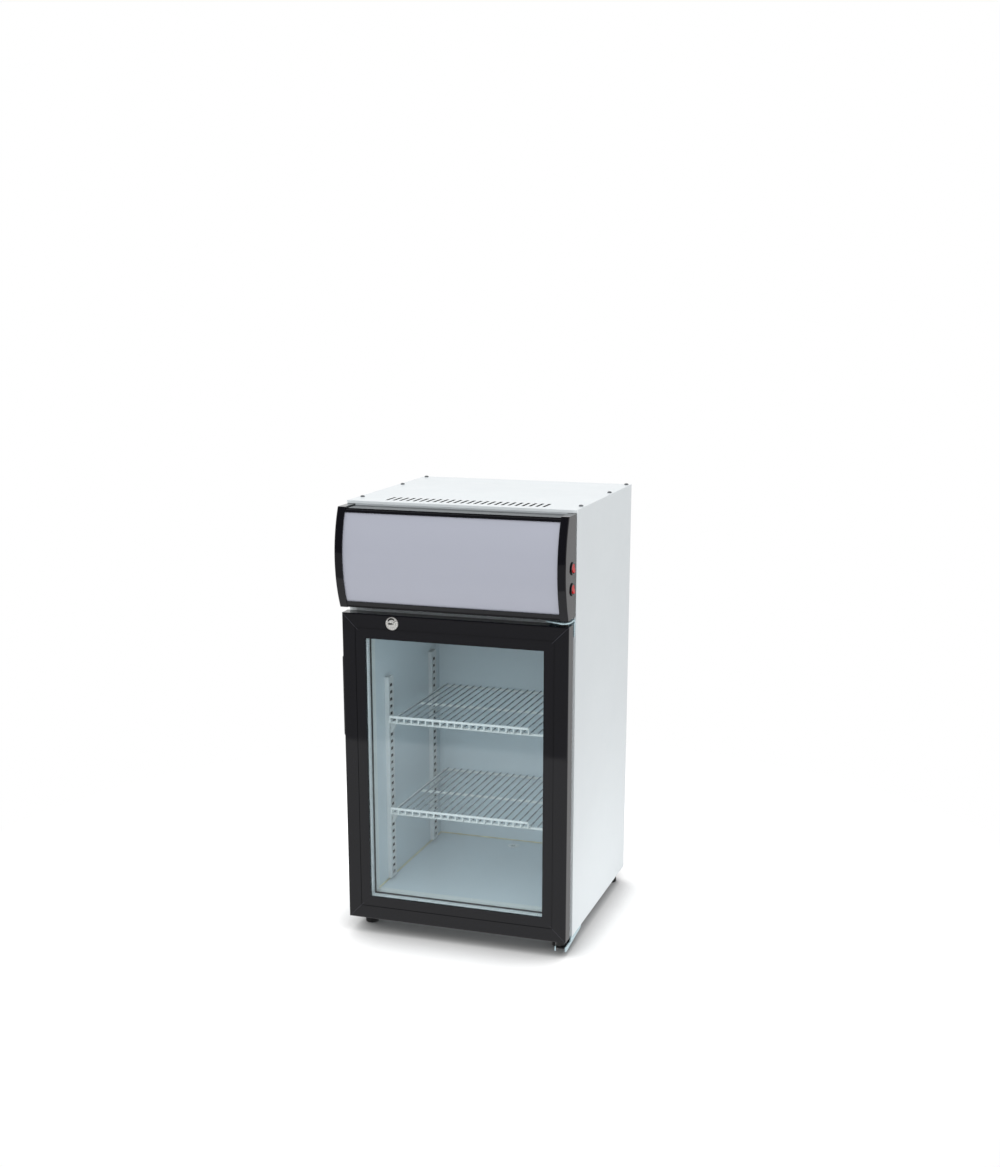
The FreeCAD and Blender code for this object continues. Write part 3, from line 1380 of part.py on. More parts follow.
def tube(label, diameter, bend, corners):
    """A bent pipe: straight runs along the axes, with a bend of three mitres at each corner."""
    spots = [V(*(number(text) for text in corner)) for corner in corners]
    radius = number(bend)
    path = [spots[0]]
    for before, corner, after in zip(spots, spots[1:], spots[2:]):
        back = (before - corner).normalize()
        ahead = (after - corner).normalize()
        middle = corner + (back + ahead) * (radius * (1 - math.sqrt(0.5)))
        path += [corner + back * radius, middle, corner + ahead * radius]
    path.append(spots[-1])
    way = (spots[1] - spots[0]).normalize()
    across = V(way.z, way.x, way.y)
    turn = FreeCAD.Rotation(way, 360 / FEW_COUNT)
    rim = [FreeCAD.Rotation(way, 180 / FEW_COUNT).multVec(across * (number(diameter) / 2))]
    for _ in range(int(FEW_COUNT)):
        rim.append(turn.multVec(rim[-1]))
    outline = Part.makePolygon([spots[0] + spot for spot in rim])
    piece = doc.addObject("Part::Feature", label)
    piece.Shape = Part.makePolygon(path).makePipeShell([outline], True, False, MITRED)
    return piece


def discharge_tube():
    x, y = SHELL_X, f"{SHELL_Y} + stub_offset"
    return tube("discharge_tube", "pipe_diameter", "pipe_bend", [
        (x, y, f"{DECK_TOP} + stub_top"), (x, y, PIPE_Z), (x, COND_Y, PIPE_Z), (COND_LEFT, COND_Y, PIPE_Z)])


def suction_tube():
    x, y = SHELL_X, f"{SHELL_Y} - stub_offset"
    return tube("suction_tube", "pipe_diameter", "pipe_bend", [
        (x, y, f"{DECK_TOP} + stub_top"), (x, y, PIPE_Z), (RISER_X, y, PIPE_Z), (RISER_X, EVAP_Y, PIPE_Z),
        (RISER_X, EVAP_Y, CEILING)])


def liquid_line():
    """The drier between the condenser and the capillary, brazed up as one piece."""
    low, high = f"{DECK_TOP} + drier_low", f"{DECK_TOP} + drier_high"
    inlet = f"{DECK_TOP} + liquid_low"
    bridge = f"{high} + capillary_rise"
    drier = body("drier_can")
    length = "drier_high - drier_low"
    pad(drier, "XY", [("0", "0", "drier_diameter", ROUND_COUNT)], "0", length)
    chamfer_end(drier, "0", "drier_cone")
    chamfer_end(drier, length, "drier_cone")
    place(drier, RISER_X, COND_Y, low)
    feed = tube("liquid_feed", "capillary", "capillary_bend",
                [(COND_LEFT, COND_Y, inlet), (RISER_X, COND_Y, inlet), (RISER_X, COND_Y, low)])
    tail = tube("capillary_tail", "capillary", "capillary_bend",
                [(RISER_X, COND_Y, high), (RISER_X, COND_Y, bridge), (CAPILLARY_X, COND_Y, bridge),
                 (CAPILLARY_X, EVAP_Y, bridge), (CAPILLARY_X, EVAP_Y, CEILING)])
    return fuse("liquid_line", drier, feed, tail)


def thermostat():
    """The control behind the rear panel, with its shaft out through it."""
    half = "thermo_width / 2"
    inside = f"{BACK} - gauge"
    case = box("thermostat_case", (f"{KNOB_X} - {half}", f"{KNOB_X} + {half}"),
               (f"{inside} - thermo_depth", inside), (f"{KNOB_Z} - {half}", f"{KNOB_Z} + {half}"))
    shaft = rod("thermostat_shaft", "y", "knob_shaft", (KNOB_X, KNOB_Z), inside, f"{BACK} + knob_reach / 2")
    return fuse("thermostat", case, shaft)


def thermostat_knob():
    """A round knob with a raised finger bar."""
    near, far = f"{BACK} + knob_gap", f"{BACK} + knob_reach"
    skirt_end = f"{near} + knob_base"
    centre = (KNOB_X, KNOB_Z)
    skirt = rod("knob_skirt", "y", "knob_diameter", centre, near, skirt_end, ROUND_COUNT)
    half = "knob_diameter / 2 - knob_rib / 2"
    bar = box("knob_bar", (f"{KNOB_X} - knob_rib / 2", f"{KNOB_X} + knob_rib / 2"), (skirt_end, far),
              (f"{KNOB_Z} - ({half})", f"{KNOB_Z} + {half}"))
    bore = rod("knob_bore", "y", "knob_shaft + 2 * shaft_clear", centre, near,
               f"{BACK} + knob_reach / 2 + shaft_clear")
    return cut("thermostat_knob", fuse("knob_blank", skirt, bar), bore)


def cable_gland():
    centre = (GLAND_X, GLAND_Z)
    inner, outer = f"{BACK} - gland_depth", f"{BACK} + gland_lip"
    flange = rod("gland_flange_blank", "y", "gland_flange", centre, BACK, outer, ROUND_COUNT)
    barrel = rod("gland_barrel_blank", "y", "gland_barrel", centre, inner, BACK, ROUND_COUNT)
    bore = rod("gland_bore_room", "y", "gland_bore", centre, inner, outer, ROUND_COUNT)
    return cut("cable_gland", fuse("gland_blank", flange, barrel), bore)


# Assembly

evap_rotor_spot = ("0", f"{COVER_FRONT} + evap_motor_depth + rotor_gap", EVAP_FAN_Z)
cond_rotor_spot = (COND_FAN_X, f"{COND_FRONT} - cond_fan_depth + cond_motor_depth + rotor_gap", COND_FAN_Z)
subparts = [
    side_panel("left_side_panel", -1),
    side_panel("right_side_panel", 1),
    back_panel(),
    base_plate(),
    top_cover(),
    cover_screws(),
    foam_insulation(),
    liner_side("liner_left", -1),
    liner_side("liner_right", 1),
    liner_back(),
    liner_floor(),
    liner_ceiling(),
    front_panel(),
    machine_deck(),
    compressor(),
    compressor_grommets(),
    condenser(),
    condenser_fan_frame(),
    fan_rotor("condenser_fan", "cond_hub", "(cond_fan_hole - 2 * tip_clear)", "cond_rotor_depth",
              cond_rotor_spot),
    liquid_line(),
    discharge_tube(),
    suction_tube(),
    rear_grille(),
    cable_gland(),
    thermostat(),
    thermostat_knob(),
    evaporator(),
    evaporator_cover(),
    fan_rotor("evaporator_fan", "evap_hub", "(evap_fan_hole - 2 * tip_clear)", "evap_rotor_depth",
              evap_rotor_spot),
    drain_tube(),
    shelf_standards(),
    shelf_clips(),
    shelf("lower_shelf", "lower_peg"),
    shelf("upper_shelf", "upper_peg"),
    feet(),
    hinge_bracket(),
    hinge_plate(),
    hinge_pins(),
    hinge_screws(),
    hinge_bushes(),
    *canopy_ends(),
    canopy_top_rail(),
    canopy_bottom_rail(),
    canopy_panel(),
    canopy_lamp(),
    switch_housings(),
    *(rocker(name, z) for name, z in SWITCHES.items()),
    *door_frame(),
    *glazing(),
    door_gasket(),
    lock_housing(),
    lock_cylinder(),
]
doc.recompute()

faults = [item.Label for item in doc.Objects if "Invalid" in item.State or "Error" in item.State]
faults += [piece.Label for piece in subparts if piece.Shape.isNull() or not piece.Shape.isValid()]
if faults:
    raise SystemExit("failed: " + ", ".join(faults))

os.makedirs("parts", exist_ok=True)
for piece in subparts:
    piece.Shape.exportStep(f"parts/{piece.Label}.step")
print(len(subparts), "sub-parts written")
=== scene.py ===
import json
import math

import bmesh
import bpy
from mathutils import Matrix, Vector


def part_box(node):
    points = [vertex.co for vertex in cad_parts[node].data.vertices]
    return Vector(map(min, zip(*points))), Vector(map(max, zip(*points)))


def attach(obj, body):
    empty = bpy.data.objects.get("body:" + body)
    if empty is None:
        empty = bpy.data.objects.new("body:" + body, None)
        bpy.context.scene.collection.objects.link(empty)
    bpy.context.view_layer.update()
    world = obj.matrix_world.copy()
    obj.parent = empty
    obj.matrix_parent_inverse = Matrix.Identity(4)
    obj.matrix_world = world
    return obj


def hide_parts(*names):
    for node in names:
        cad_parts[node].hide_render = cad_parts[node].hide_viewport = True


# Looks of a countertop beverage fridge: finishes, wire shelves, screws, turned parts and soft edges.
# Metres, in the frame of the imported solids.

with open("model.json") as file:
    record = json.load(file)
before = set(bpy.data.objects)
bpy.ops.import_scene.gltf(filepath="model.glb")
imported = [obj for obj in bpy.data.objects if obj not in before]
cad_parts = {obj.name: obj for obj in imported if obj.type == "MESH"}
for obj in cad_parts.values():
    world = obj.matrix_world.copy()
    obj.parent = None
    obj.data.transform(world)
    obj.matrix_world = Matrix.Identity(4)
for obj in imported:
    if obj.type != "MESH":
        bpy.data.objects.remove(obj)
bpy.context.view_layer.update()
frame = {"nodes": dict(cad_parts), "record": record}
RECORD = frame["record"]
SOLIDS = frame["nodes"]
BODY_OF = {node: body for body, members in RECORD["behaviour"]["bodies"].items() for node in members}
SLOT_OF = {part["node"]: part["material_slot"] for part in RECORD["subparts"]}
MM = 0.001
MERGE = 0.005 * MM
SHEET = 1 * MM
BEYOND = 1.0
WHITE = (1, 1, 1, 1)


# Node helpers

# The places of a mix node's factor, first and second input, and of its result, by kind of data
MIX_SOCKETS = {"FLOAT": (0, 2, 3, 0), "VECTOR": (0, 4, 5, 1), "RGBA": (0, 6, 7, 2)}


def add_node(tree, kind, values=None, **settings):
    """A node with its settings, and its inputs linked or set."""
    node = tree.nodes.new(kind)
    for name, value in settings.items():
        setattr(node, name, value)
    for name, value in (values or {}).items():
        feed(tree, value, node.inputs[name])
    return node


def out_of(tree, kind, values=None, **settings):
    """The first output of a new node."""
    return add_node(tree, kind, values, **settings).outputs[0]


def feed(tree, value, socket):
    """Links an output to a socket, or sets a plain value on it."""
    if isinstance(value, bpy.types.NodeSocket):
        tree.links.new(value, socket)
    else:
        socket.default_value = value


def calc(tree, operation, first, second=0.0):
    """A math node on two numbers or outputs."""
    return out_of(tree, "ShaderNodeMath", {0: first, 1: second}, operation=operation)


def mix(tree, kind, factor, first, second):
    """A blend of two numbers, vectors or colours."""
    *places, result = MIX_SOCKETS[kind]
    values = dict(zip(places, (factor, first, second)))
    return add_node(tree, "ShaderNodeMix", values, data_type=kind).outputs[result]


def point_at(tree, x, y, z):
    return out_of(tree, "ShaderNodeCombineXYZ", {"X": x, "Y": y, "Z": z})


def parts_of(tree, vector):
    return add_node(tree, "ShaderNodeSeparateXYZ", {"Vector": vector}).outputs


def find_node(tree, kind):
    return next(node for node in tree.nodes if node.type == kind)


# Colours and patterns

NOISE_LOW = 0.3
NOISE_HIGH = 0.7


def ink(red, green, blue):
    """A display colour from 0 to 255 as the linear colour that a shader takes."""
    def linear(value):
        value = value / 255
        if value <= 0.04045:
            return value / 12.92
        return ((value + 0.055) / 1.055) ** 2.4
    return (linear(red), linear(green), linear(blue), 1.0)


def shade(colour, factor):
    return (colour[0] * factor, colour[1] * factor, colour[2] * factor, 1.0)


def start_finish(name, **values):
    """A material with one Principled shader, and the Object coordinates that its patterns read."""
    material = bpy.data.materials.new(name)
    material.use_nodes = True
    tree = material.node_tree
    tree.nodes.clear()
    inputs = {label.replace("_", " "): value for label, value in values.items()}
    shader = add_node(tree, "ShaderNodeBsdfPrincipled", inputs)
    add_node(tree, "ShaderNodeOutputMaterial", {"Surface": shader.outputs["BSDF"]})
    place = add_node(tree, "ShaderNodeTexCoord").outputs["Object"]
    return material, tree, shader, place


def cloud(tree, place, scale, detail=3.0, stretch=(1, 1, 1)):
    """Noise at a number of cells a metre, drawn out along an axis where stretch is below 1."""
    mapped = out_of(tree, "ShaderNodeMapping", {"Vector": place, "Scale": stretch})
    noise = add_node(tree, "ShaderNodeTexNoise", {"Vector": mapped, "Scale": scale, "Detail": detail})
    return noise.outputs["Fac"]


def level(tree, factor, low, high, start=NOISE_LOW, end=NOISE_HIGH):
    """A number that goes from low to high as the factor goes from start to end."""
    return out_of(tree, "ShaderNodeMapRange", {
        "Value": factor, "From Min": start, "From Max": end, "To Min": low, "To Max": high})


def dye(tree, shader, factor, stops):
    """Colours at places from 0 to 1 along a factor."""
    node = add_node(tree, "ShaderNodeValToRGB", {"Fac": factor})
    elements = node.color_ramp.elements
    while len(elements) < len(stops):
        elements.new(0.5)
    for element, (place, colour) in zip(elements, stops):
        element.position = place
        element.color = colour
    tree.links.new(node.outputs["Color"], shader.inputs["Base Color"])


def tint(tree, shader, factor, colour, spread):
    """A colour that goes a little darker and lighter over the surface."""
    stops = [(NOISE_LOW, shade(colour, 1 - spread)), (NOISE_HIGH, shade(colour, 1 + spread))]
    dye(tree, shader, factor, stops)


def polish(tree, shader, factor, gloss, *span):
    """A roughness between two values that follows a factor."""
    feed(tree, level(tree, factor, *gloss, *span), shader.inputs["Roughness"])


def relief(tree, shader, height, strength, depth):
    """Bump from a height, depth in metres."""
    bump = out_of(tree, "ShaderNodeBump", {"Height": height, "Strength": strength, "Distance": depth})
    tree.links.new(bump, shader.inputs["Normal"])


# Finishes

def enamel(name, colour, gloss=(0.28, 0.38), peel=0.06, spread=0.015):
    """Sprayed enamel on sheet: faint orange peel, and a tone that drifts across a panel."""
    material, tree, shader, place = start_finish(name, Coat_Weight=0.15, Coat_Roughness=0.12)
    tint(tree, shader, cloud(tree, place, scale=6), colour, spread)
    polish(tree, shader, cloud(tree, place, scale=35), gloss)
    relief(tree, shader, cloud(tree, place, scale=420, detail=1.0), strength=peel, depth=0.4 * MM)
    return material


def moulding(name, colour, gloss, grain, grain_scale=1500, spread=0.06, **values):
    """Moulded plastic: fine grain, faint flow marks and handling marks in the gloss."""
    material, tree, shader, place = start_finish(name, **values)
    tint(tree, shader, cloud(tree, place, scale=14), colour, spread)
    polish(tree, shader, cloud(tree, place, scale=60, detail=5.0, stretch=(1, 1, 0.35)), gloss)
    relief(tree, shader, cloud(tree, place, grain_scale, detail=2.0), strength=grain, depth=0.2 * MM)
    return material


def rubber(name, colour):
    """Matt rubber with a dusty bloom."""
    material, tree, shader, place = start_finish(name, IOR=1.4)
    bloom = cloud(tree, place, scale=45, detail=6.0)
    dye(tree, shader, bloom, [(0.35, colour), (0.8, shade(colour, 1.9))])
    polish(tree, shader, bloom, (0.55, 0.8))
    relief(tree, shader, cloud(tree, place, scale=2200, detail=2.0), strength=0.25, depth=0.2 * MM)
    return material


def plated(name, colour, gloss, spread, metal, stretch=(1, 1, 1)):
    """Plated or drawn metal: cloudy tone, uneven gloss and fine drawing lines."""
    material, tree, shader, place = start_finish(name, Metallic=metal)
    tint(tree, shader, cloud(tree, place, scale=70, detail=4.0), colour, spread)
    lines = cloud(tree, place, scale=900, stretch=stretch)
    polish(tree, shader, lines, gloss)
    relief(tree, shader, lines, strength=0.05, depth=0.1 * MM)
    return material


def spangled(name, colour):
    """Galvanised sheet: crystals of different greys, each with its own gloss."""
    material, tree, shader, place = start_finish(name, Metallic=0.9)
    jitter = calc(tree, "MULTIPLY", cloud(tree, place, scale=160, detail=2.0), 4 * MM)
    wander = point_at(tree, jitter, jitter, jitter)
    shifted = out_of(tree, "ShaderNodeVectorMath", {0: place, 1: wander}, operation="ADD")
    crystals = add_node(tree, "ShaderNodeTexVoronoi", {"Vector": shifted, "Scale": 190.0})
    tone = out_of(tree, "ShaderNodeSeparateColor", {"Color": crystals.outputs["Color"]})
    dye(tree, shader, tone, [(0.0, shade(colour, 0.9)), (1.0, shade(colour, 1.1))])
    polish(tree, shader, tone, (0.32, 0.5), 0.0, 1.0)
    relief(tree, shader, tone, strength=0.08, depth=0.1 * MM)
    return material


def finned(name, colour, pitch):
    """A coil block of thin plates: painted shade in the gaps between bright edges, across X."""
    material, tree, shader, place = start_finish(name, Metallic=0.85)
    phase = calc(tree, "FRACT", calc(tree, "DIVIDE", parts_of(tree, place)["X"], pitch))
    edge = calc(tree, "ABSOLUTE", calc(tree, "SUBTRACT", phase, 0.5))
    dents = cloud(tree, place, scale=90, detail=4.0)
    # Low values take the painted shade of the gaps
    clear_of_gap_shade = calc(tree, "ADD", edge, calc(tree, "MULTIPLY", dents, 0.3))
    dye(tree, shader, clear_of_gap_shade, [(0.2, shade(colour, 0.25)), (0.6, colour)])
    polish(tree, shader, dents, (0.3, 0.5))
    relief(tree, shader, edge, strength=0.5, depth=0.6 * MM)
    return material


def tarnished_copper(name, colour):
    """Drawn copper with brown patches where it was handled and heated."""
    material, tree, shader, place = start_finish(name, Metallic=1.0)
    patches = cloud(tree, place, scale=38, detail=6.0)
    dye(tree, shader, patches, [(0.3, colour), (0.55, shade(colour, 0.7)), (0.75, ink(96, 58, 42))])
    polish(tree, shader, patches, (0.22, 0.5))
    relief(tree, shader, cloud(tree, place, scale=700), strength=0.08, depth=0.1 * MM)
    return material


def diffuser(name, colour):
    """The canopy's opal sheet: milky, smooth, with a faint streak of the extrusion along X."""
    material, tree, shader, place = start_finish(name, Coat_Weight=0.35, Coat_Roughness=0.06)
    streaks = cloud(tree, place, scale=40, detail=2.0, stretch=(0.05, 1, 1))
    tint(tree, shader, streaks, colour, spread=0.004)
    polish(tree, shader, streaks, (0.25, 0.27))
    return material


def window_glass(name, colour):
    """Float glass. Light and shade pass through it, so that what it covers stays lit."""
    material, tree, shader, place = start_finish(name, Transmission_Weight=1.0, IOR=1.46)
    haze = cloud(tree, place, scale=9, detail=4.0)
    tint(tree, shader, haze, colour, spread=0.006)
    polish(tree, shader, haze, (0.0, 0.015))
    clear = out_of(tree, "ShaderNodeBsdfTransparent", {"Color": colour})
    rays = add_node(tree, "ShaderNodeLightPath").outputs
    passing = calc(tree, "MAXIMUM", rays["Is Shadow Ray"], rays["Is Diffuse Ray"])
    mixed = out_of(tree, "ShaderNodeMixShader", {0: passing, 1: shader.outputs[0], 2: clear})
    tree.links.new(mixed, find_node(tree, "OUTPUT_MATERIAL").inputs["Surface"])
    return material


BLACK = ink(12, 12, 17)
SHELF_WHITE = (0.93, 0.95, 0.93, 1)
POLISHED = dict(gloss=(0.03, 0.06), grain=0.01)
LOOKS = {
    "cabinet_white": (enamel, (0.78, 0.83, 0.855, 1), {}),
    "galvanised_sheet": (spangled, (0.55, 0.58, 0.6, 1), {}),
    "front_dark": (enamel, ink(205, 212, 216), dict(gloss=(0.3, 0.45))),
    "liner_white": (enamel, (0.745, 0.825, 0.86, 1), dict(gloss=(0.1, 0.18), peel=0.03)),
    "insulation": (rubber, ink(226, 208, 150), {}),
    "zinc_steel": (plated, (0.62, 0.8, 0.86, 1),
                   dict(gloss=(0.2, 0.36), spread=0.1, metal=0.5, stretch=(0.2, 1, 1))),
    "compressor_black": (enamel, ink(24, 24, 26), dict(gloss=(0.25, 0.4), peel=0.12, spread=0.1)),
    "grommet_rubber": (rubber, ink(26, 26, 27), {}),
    "fin_aluminium": (finned, (0.78, 0.8, 0.82, 1), dict(pitch=2 * MM)),
    "copper_pipe": (tarnished_copper, (0.86, 0.46, 0.32, 1), {}),
    "fan_black": (moulding, ink(24, 24, 25), dict(gloss=(0.3, 0.45), grain=0.12, grain_scale=900)),
    "cover_white": (moulding, (0.74, 0.78, 0.78, 1),
                    dict(gloss=(0.32, 0.45), grain=0.1, grain_scale=900, spread=0.015)),
    "shelf_white": (enamel, SHELF_WHITE, dict(gloss=(0.22, 0.34), peel=0.1)),
    "standard_white": (enamel, (0.74, 0.77, 0.77, 1), dict(gloss=(0.3, 0.42), peel=0.1)),
    "foot_black": (rubber, ink(22, 22, 23), {}),
    "bush_nylon": (moulding, ink(20, 20, 20), dict(gloss=(0.3, 0.4), grain=0.05, grain_scale=900)),
    "canopy_black": (moulding, BLACK, POLISHED),
    "canopy_sheet": (diffuser, ink(169, 172, 184), {}),
    "lamp_white": (moulding, (0.8, 0.82, 0.84, 1),
                   dict(gloss=(0.25, 0.35), grain=0.03, grain_scale=900, spread=0.01)),
    "switch_black": (moulding, ink(18, 18, 19), dict(gloss=(0.15, 0.28), grain=0.05)),
    "rocker_red": (moulding, (0.56, 0.002, 0.004, 1),
                   dict(gloss=(0.3, 0.4), grain=0.03, grain_scale=900, spread=0.05, IOR=1.3)),
    "frame_black": (moulding, BLACK, POLISHED),
    "door_glass": (window_glass, (0.95, 0.975, 0.985, 1), {}),
    "spacer_aluminium": (plated, (0.86, 0.95, 0.97, 1),
                         dict(gloss=(0.3, 0.4), spread=0.03, metal=0.1, stretch=(0.1, 1, 0.1))),
    "gasket_grey": (moulding, ink(168, 174, 170),
                    dict(gloss=(0.45, 0.6), grain=0.1, grain_scale=900, spread=0.025)),
    "lock_nickel": (plated, (0.86, 0.85, 0.82, 1), dict(gloss=(0.2, 0.32), spread=0.05, metal=0.6)),
}
FINISHES = {name: maker(name, colour, **settings) for name, (maker, colour, settings) in LOOKS.items()}
SCREW_STEEL = plated("screw_steel", (0.16, 0.17, 0.18, 1), gloss=(0.3, 0.45), spread=0.1, metal=0.5)
# Painted shade: the white-coated shelf wires in grey where they lie inside the cold room
WIRE_SHADE_GREY = enamel("wire_painted_shade", (0.34, 0.38, 0.4, 1), gloss=(0.22, 0.34), peel=0.1)
SEALANT = rubber("sealant_cream", ink(206, 200, 168))
SHADOW_GAP = moulding("shadow_black", ink(8, 8, 9), gloss=(0.5, 0.6), grain=0.02)
PRICK_GREY = moulding("prick_grey", ink(44, 48, 50), gloss=(0.5, 0.6), grain=0.02)


# Mesh helpers

HARD_EDGE = 32
TURNED_EDGE = 40
EDGE_SEGMENTS = 2
FLAT_WEIGHT = 90


def new_object(name, data):
    piece = bpy.data.objects.new(name, data)
    bpy.context.scene.collection.objects.link(piece)
    return piece


def plain_mesh(piece):
    """The mesh that an object's modifiers or curve settings give."""
    bpy.context.view_layer.update()
    graph = bpy.context.evaluated_depsgraph_get()
    return bpy.data.meshes.new_from_object(piece.evaluated_get(graph))


def make_plain(piece):
    """Puts the modifiers' result into the piece's own mesh."""
    mesh = plain_mesh(piece)
    piece.modifiers.clear()
    piece.data = mesh
    return piece


def settle(piece, body, slot, *nodes, material=None, keep=False):
    """Gives a finished piece its finish, unless it keeps its own, its body and the solids it stands for."""
    if not keep:
        piece.data.materials.clear()
        piece.data.materials.append(material or FINISHES[slot])
    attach(piece, body)
    if nodes:
        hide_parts(*nodes)


def merged(node):
    """A solid's loose triangles as one closed mesh."""
    work = bmesh.new()
    work.from_mesh(SOLIDS[node].data)
    bmesh.ops.remove_doubles(work, verts=work.verts, dist=MERGE)
    return work


def as_mesh(work, name):
    mesh = bpy.data.meshes.new(name)
    work.to_mesh(mesh)
    work.free()
    return mesh


def soften(piece, width, angle=HARD_EDGE):
    """Rounds the hard edges a little, or only marks them sharp, with flat faces kept flat in the shading."""
    piece.data.shade_smooth()
    if width:
        bevel = piece.modifiers.new("edges", "BEVEL")
        bevel.width = width
        bevel.segments = EDGE_SEGMENTS
        bevel.limit_method = "ANGLE"
        bevel.angle_limit = math.radians(angle)
        bevel.miter_outer = "MITER_ARC"
    normals = piece.modifiers.new("shading", "WEIGHTED_NORMAL")
    normals.weight = FLAT_WEIGHT
    normals.keep_sharp = True
    if not width:
        piece.data.set_sharp_from_angle(angle=math.radians(angle))
    make_plain(piece)


def softened(node, width, angle=HARD_EDGE):
    piece = new_object(f"{node}.soft", as_mesh(merged(node), node))
    soften(piece, width, angle)
    settle(piece, BODY_OF[node], SLOT_OF[node], node)


def islands(node):
    """The lowest and highest corners of each separate solid in a node, in the same order each run."""
    work = merged(node)
    left = dict.fromkeys(work.verts)
    boxes = []
    while left:
        front = [left.popitem()[0]]
        corners = []
        while front:
            vert = front.pop()
            corners.append(vert.co.copy())
            for edge in vert.link_edges:
                other = edge.other_vert(vert)
                if other in left:
                    del left[other]
                    front.append(other)
        low = Vector([min(values) for values in zip(*corners)])
        high = Vector([max(values) for values in zip(*corners)])
        boxes.append((low, high))
    work.free()
    return boxes


def turned(work, profile, centre, axis, sides=48):
    """Adds a solid of revolution: a profile of (radius, height) in millimetres about Z, or about Y."""
    rings = []
    for radius, height in profile:
        ring = []
        count = 1 if radius == 0 else sides
        for index in range(count):
            angle = math.tau * index / sides
            spot = Vector((radius * MM * math.cos(angle), radius * MM * math.sin(angle), height * MM))
            if axis == "y":
                spot = Vector((spot.x, -spot.z, spot.y))
            ring.append(work.verts.new(centre + spot))
        rings.append(ring)
    for below, above in zip(rings, rings[1:]):
        for index in range(sides):
            after = (index + 1) % sides
            corners = [below[index % len(below)], below[after % len(below)],
                       above[after % len(above)], above[index % len(above)]]
            face = list(dict.fromkeys(corners))
            if len(face) > 2:
                work.faces.new(face)


def prism(work, below, above):
    """Side faces between two outlines, and a face across each."""
    for index in range(len(below)):
        after = (index + 1) % len(below)
        work.faces.new((below[index], below[after], above[after], above[index]))
    for outline in (below, above):
        work.faces.new(outline)


def close_up(work):
    bmesh.ops.remove_doubles(work, verts=work.verts, dist=MERGE)
    bmesh.ops.recalc_face_normals(work, faces=work.faces)


# Paint by place, some of it painted shade and a painted highlight

# Near black: the primer inside the white sheets, darkened further as painted shade of the machine space and
# the hinge bracket
PRIMER_AND_SHADE = ink(20, 21, 22)
SLOT_RIM = 0.06 * MM
# Painted shade in the shelf standards' channels, seen through their slots
PAINTED_CHANNEL_SHADE = ink(60, 66, 68)
CHANNEL_END = 6 * MM
CHANNEL_SKIN = 0.6
MOUTH_PALE = (0.86, 0.905, 0.885, 1)
MOUTH_DEPTH = 15 * MM
BRACKET_GAUGE = 3 * MM
MITRE_LINE = 0.6 * MM
MITRE_REACH = 30 * MM
# Grey of the mitre lines: the plastic's cut edge with a painted highlight
MITRE_HIGHLIGHT_GREY = ink(52, 52, 58)


def place_in(tree):
    """The Object coordinates that a finish reads."""
    return find_node(tree, "TEX_COORD").outputs["Object"]


def within(tree, place, low, high):
    """1 inside a box of places, 0 outside it."""
    parts = parts_of(tree, place)
    inside = 1.0
    for axis, start, end in zip("XYZ", low, high):
        above = calc(tree, "GREATER_THAN", parts[axis], start)
        below = calc(tree, "LESS_THAN", parts[axis], end)
        inside = calc(tree, "MULTIPLY", inside, calc(tree, "MULTIPLY", above, below))
    return inside


def space_ahead(y):
    """The box of all that lies in front of a place on Y."""
    return (-BEYOND, -BEYOND, 0), (BEYOND, y, BEYOND)


def cover_over(material, covered, colour):
    """Another colour where a mask is 1."""
    tree = material.node_tree
    base = find_node(tree, "BSDF_PRINCIPLED").inputs["Base Color"]
    feed(tree, mix(tree, "RGBA", covered, base.links[0].from_socket, colour), base)


def overpaint(material, colour, boxes, matt=False):
    """Another colour where a finish lies in one of some boxes, dull if it is matt paint."""
    tree = material.node_tree
    covered = 0.0
    for low, high in boxes:
        covered = calc(tree, "MAXIMUM", covered, within(tree, place_in(tree), low, high))
    if matt:
        roughness = find_node(tree, "BSDF_PRINCIPLED").inputs["Roughness"]
        feed(tree, calc(tree, "MAXIMUM", roughness.links[0].from_socket, covered), roughness)
    cover_over(material, covered, colour)


def paint_and_shade_inside():
    """Near-black matt paint: primer and painted shade inside the white sheets, painted shade on the
    galvanised sheets above the deck and in the hinge bracket; painted shade in the shelf channels; a pale
    mouth.
    """
    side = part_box("right_side_panel")[1].x - SHEET / 2
    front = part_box("right_side_panel")[0].y + SHEET / 2
    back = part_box("rear_grille")[1].y - SHEET / 2
    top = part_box("top_cover")[1].z - SLOT_RIM
    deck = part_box("machine_deck")[1].z - SHEET / 2
    # Dark primer inside the white sheets, made near black as painted shade; the galvanised sheets above the
    # deck get the same painted shade
    overpaint(FINISHES["cabinet_white"], PRIMER_AND_SHADE, [((-side, front, 0), (side, back, top))], matt=True)
    overpaint(FINISHES["galvanised_sheet"], PRIMER_AND_SHADE, [((-side, front, deck), (side, back, top))])
    # Painted shade behind the slots of the shelf standards, on the liner and inside the channels
    channel_shade_boxes = []
    skin = Vector((0, SHEET / 2, CHANNEL_END))
    for low, high in islands("shelf_standards"):
        wall = Vector((math.copysign(SHEET, low.x), 0, 0))
        web = wall * CHANNEL_SKIN
        if low.x < 0:
            channel_shade_boxes.append((low + skin + wall, high - skin + web))
        else:
            channel_shade_boxes.append((low + skin + web, high - skin + wall))
    for slot in ("liner_white", "standard_white"):
        overpaint(FINISHES[slot], PAINTED_CHANNEL_SHADE, channel_shade_boxes)
    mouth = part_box("liner_left")[0].y + MOUTH_DEPTH
    overpaint(FINISHES["liner_white"], MOUTH_PALE, [space_ahead(mouth)])
    # Painted shade inside the hinge bracket's channel
    low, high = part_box("hinge_bracket")
    leg = Vector((BRACKET_GAUGE - SHEET / 2, -SHEET, -SHEET))
    overpaint(FINISHES["zinc_steel"], PRIMER_AND_SHADE, [(low + leg, high - leg - Vector((0, 0, BRACKET_GAUGE)))])


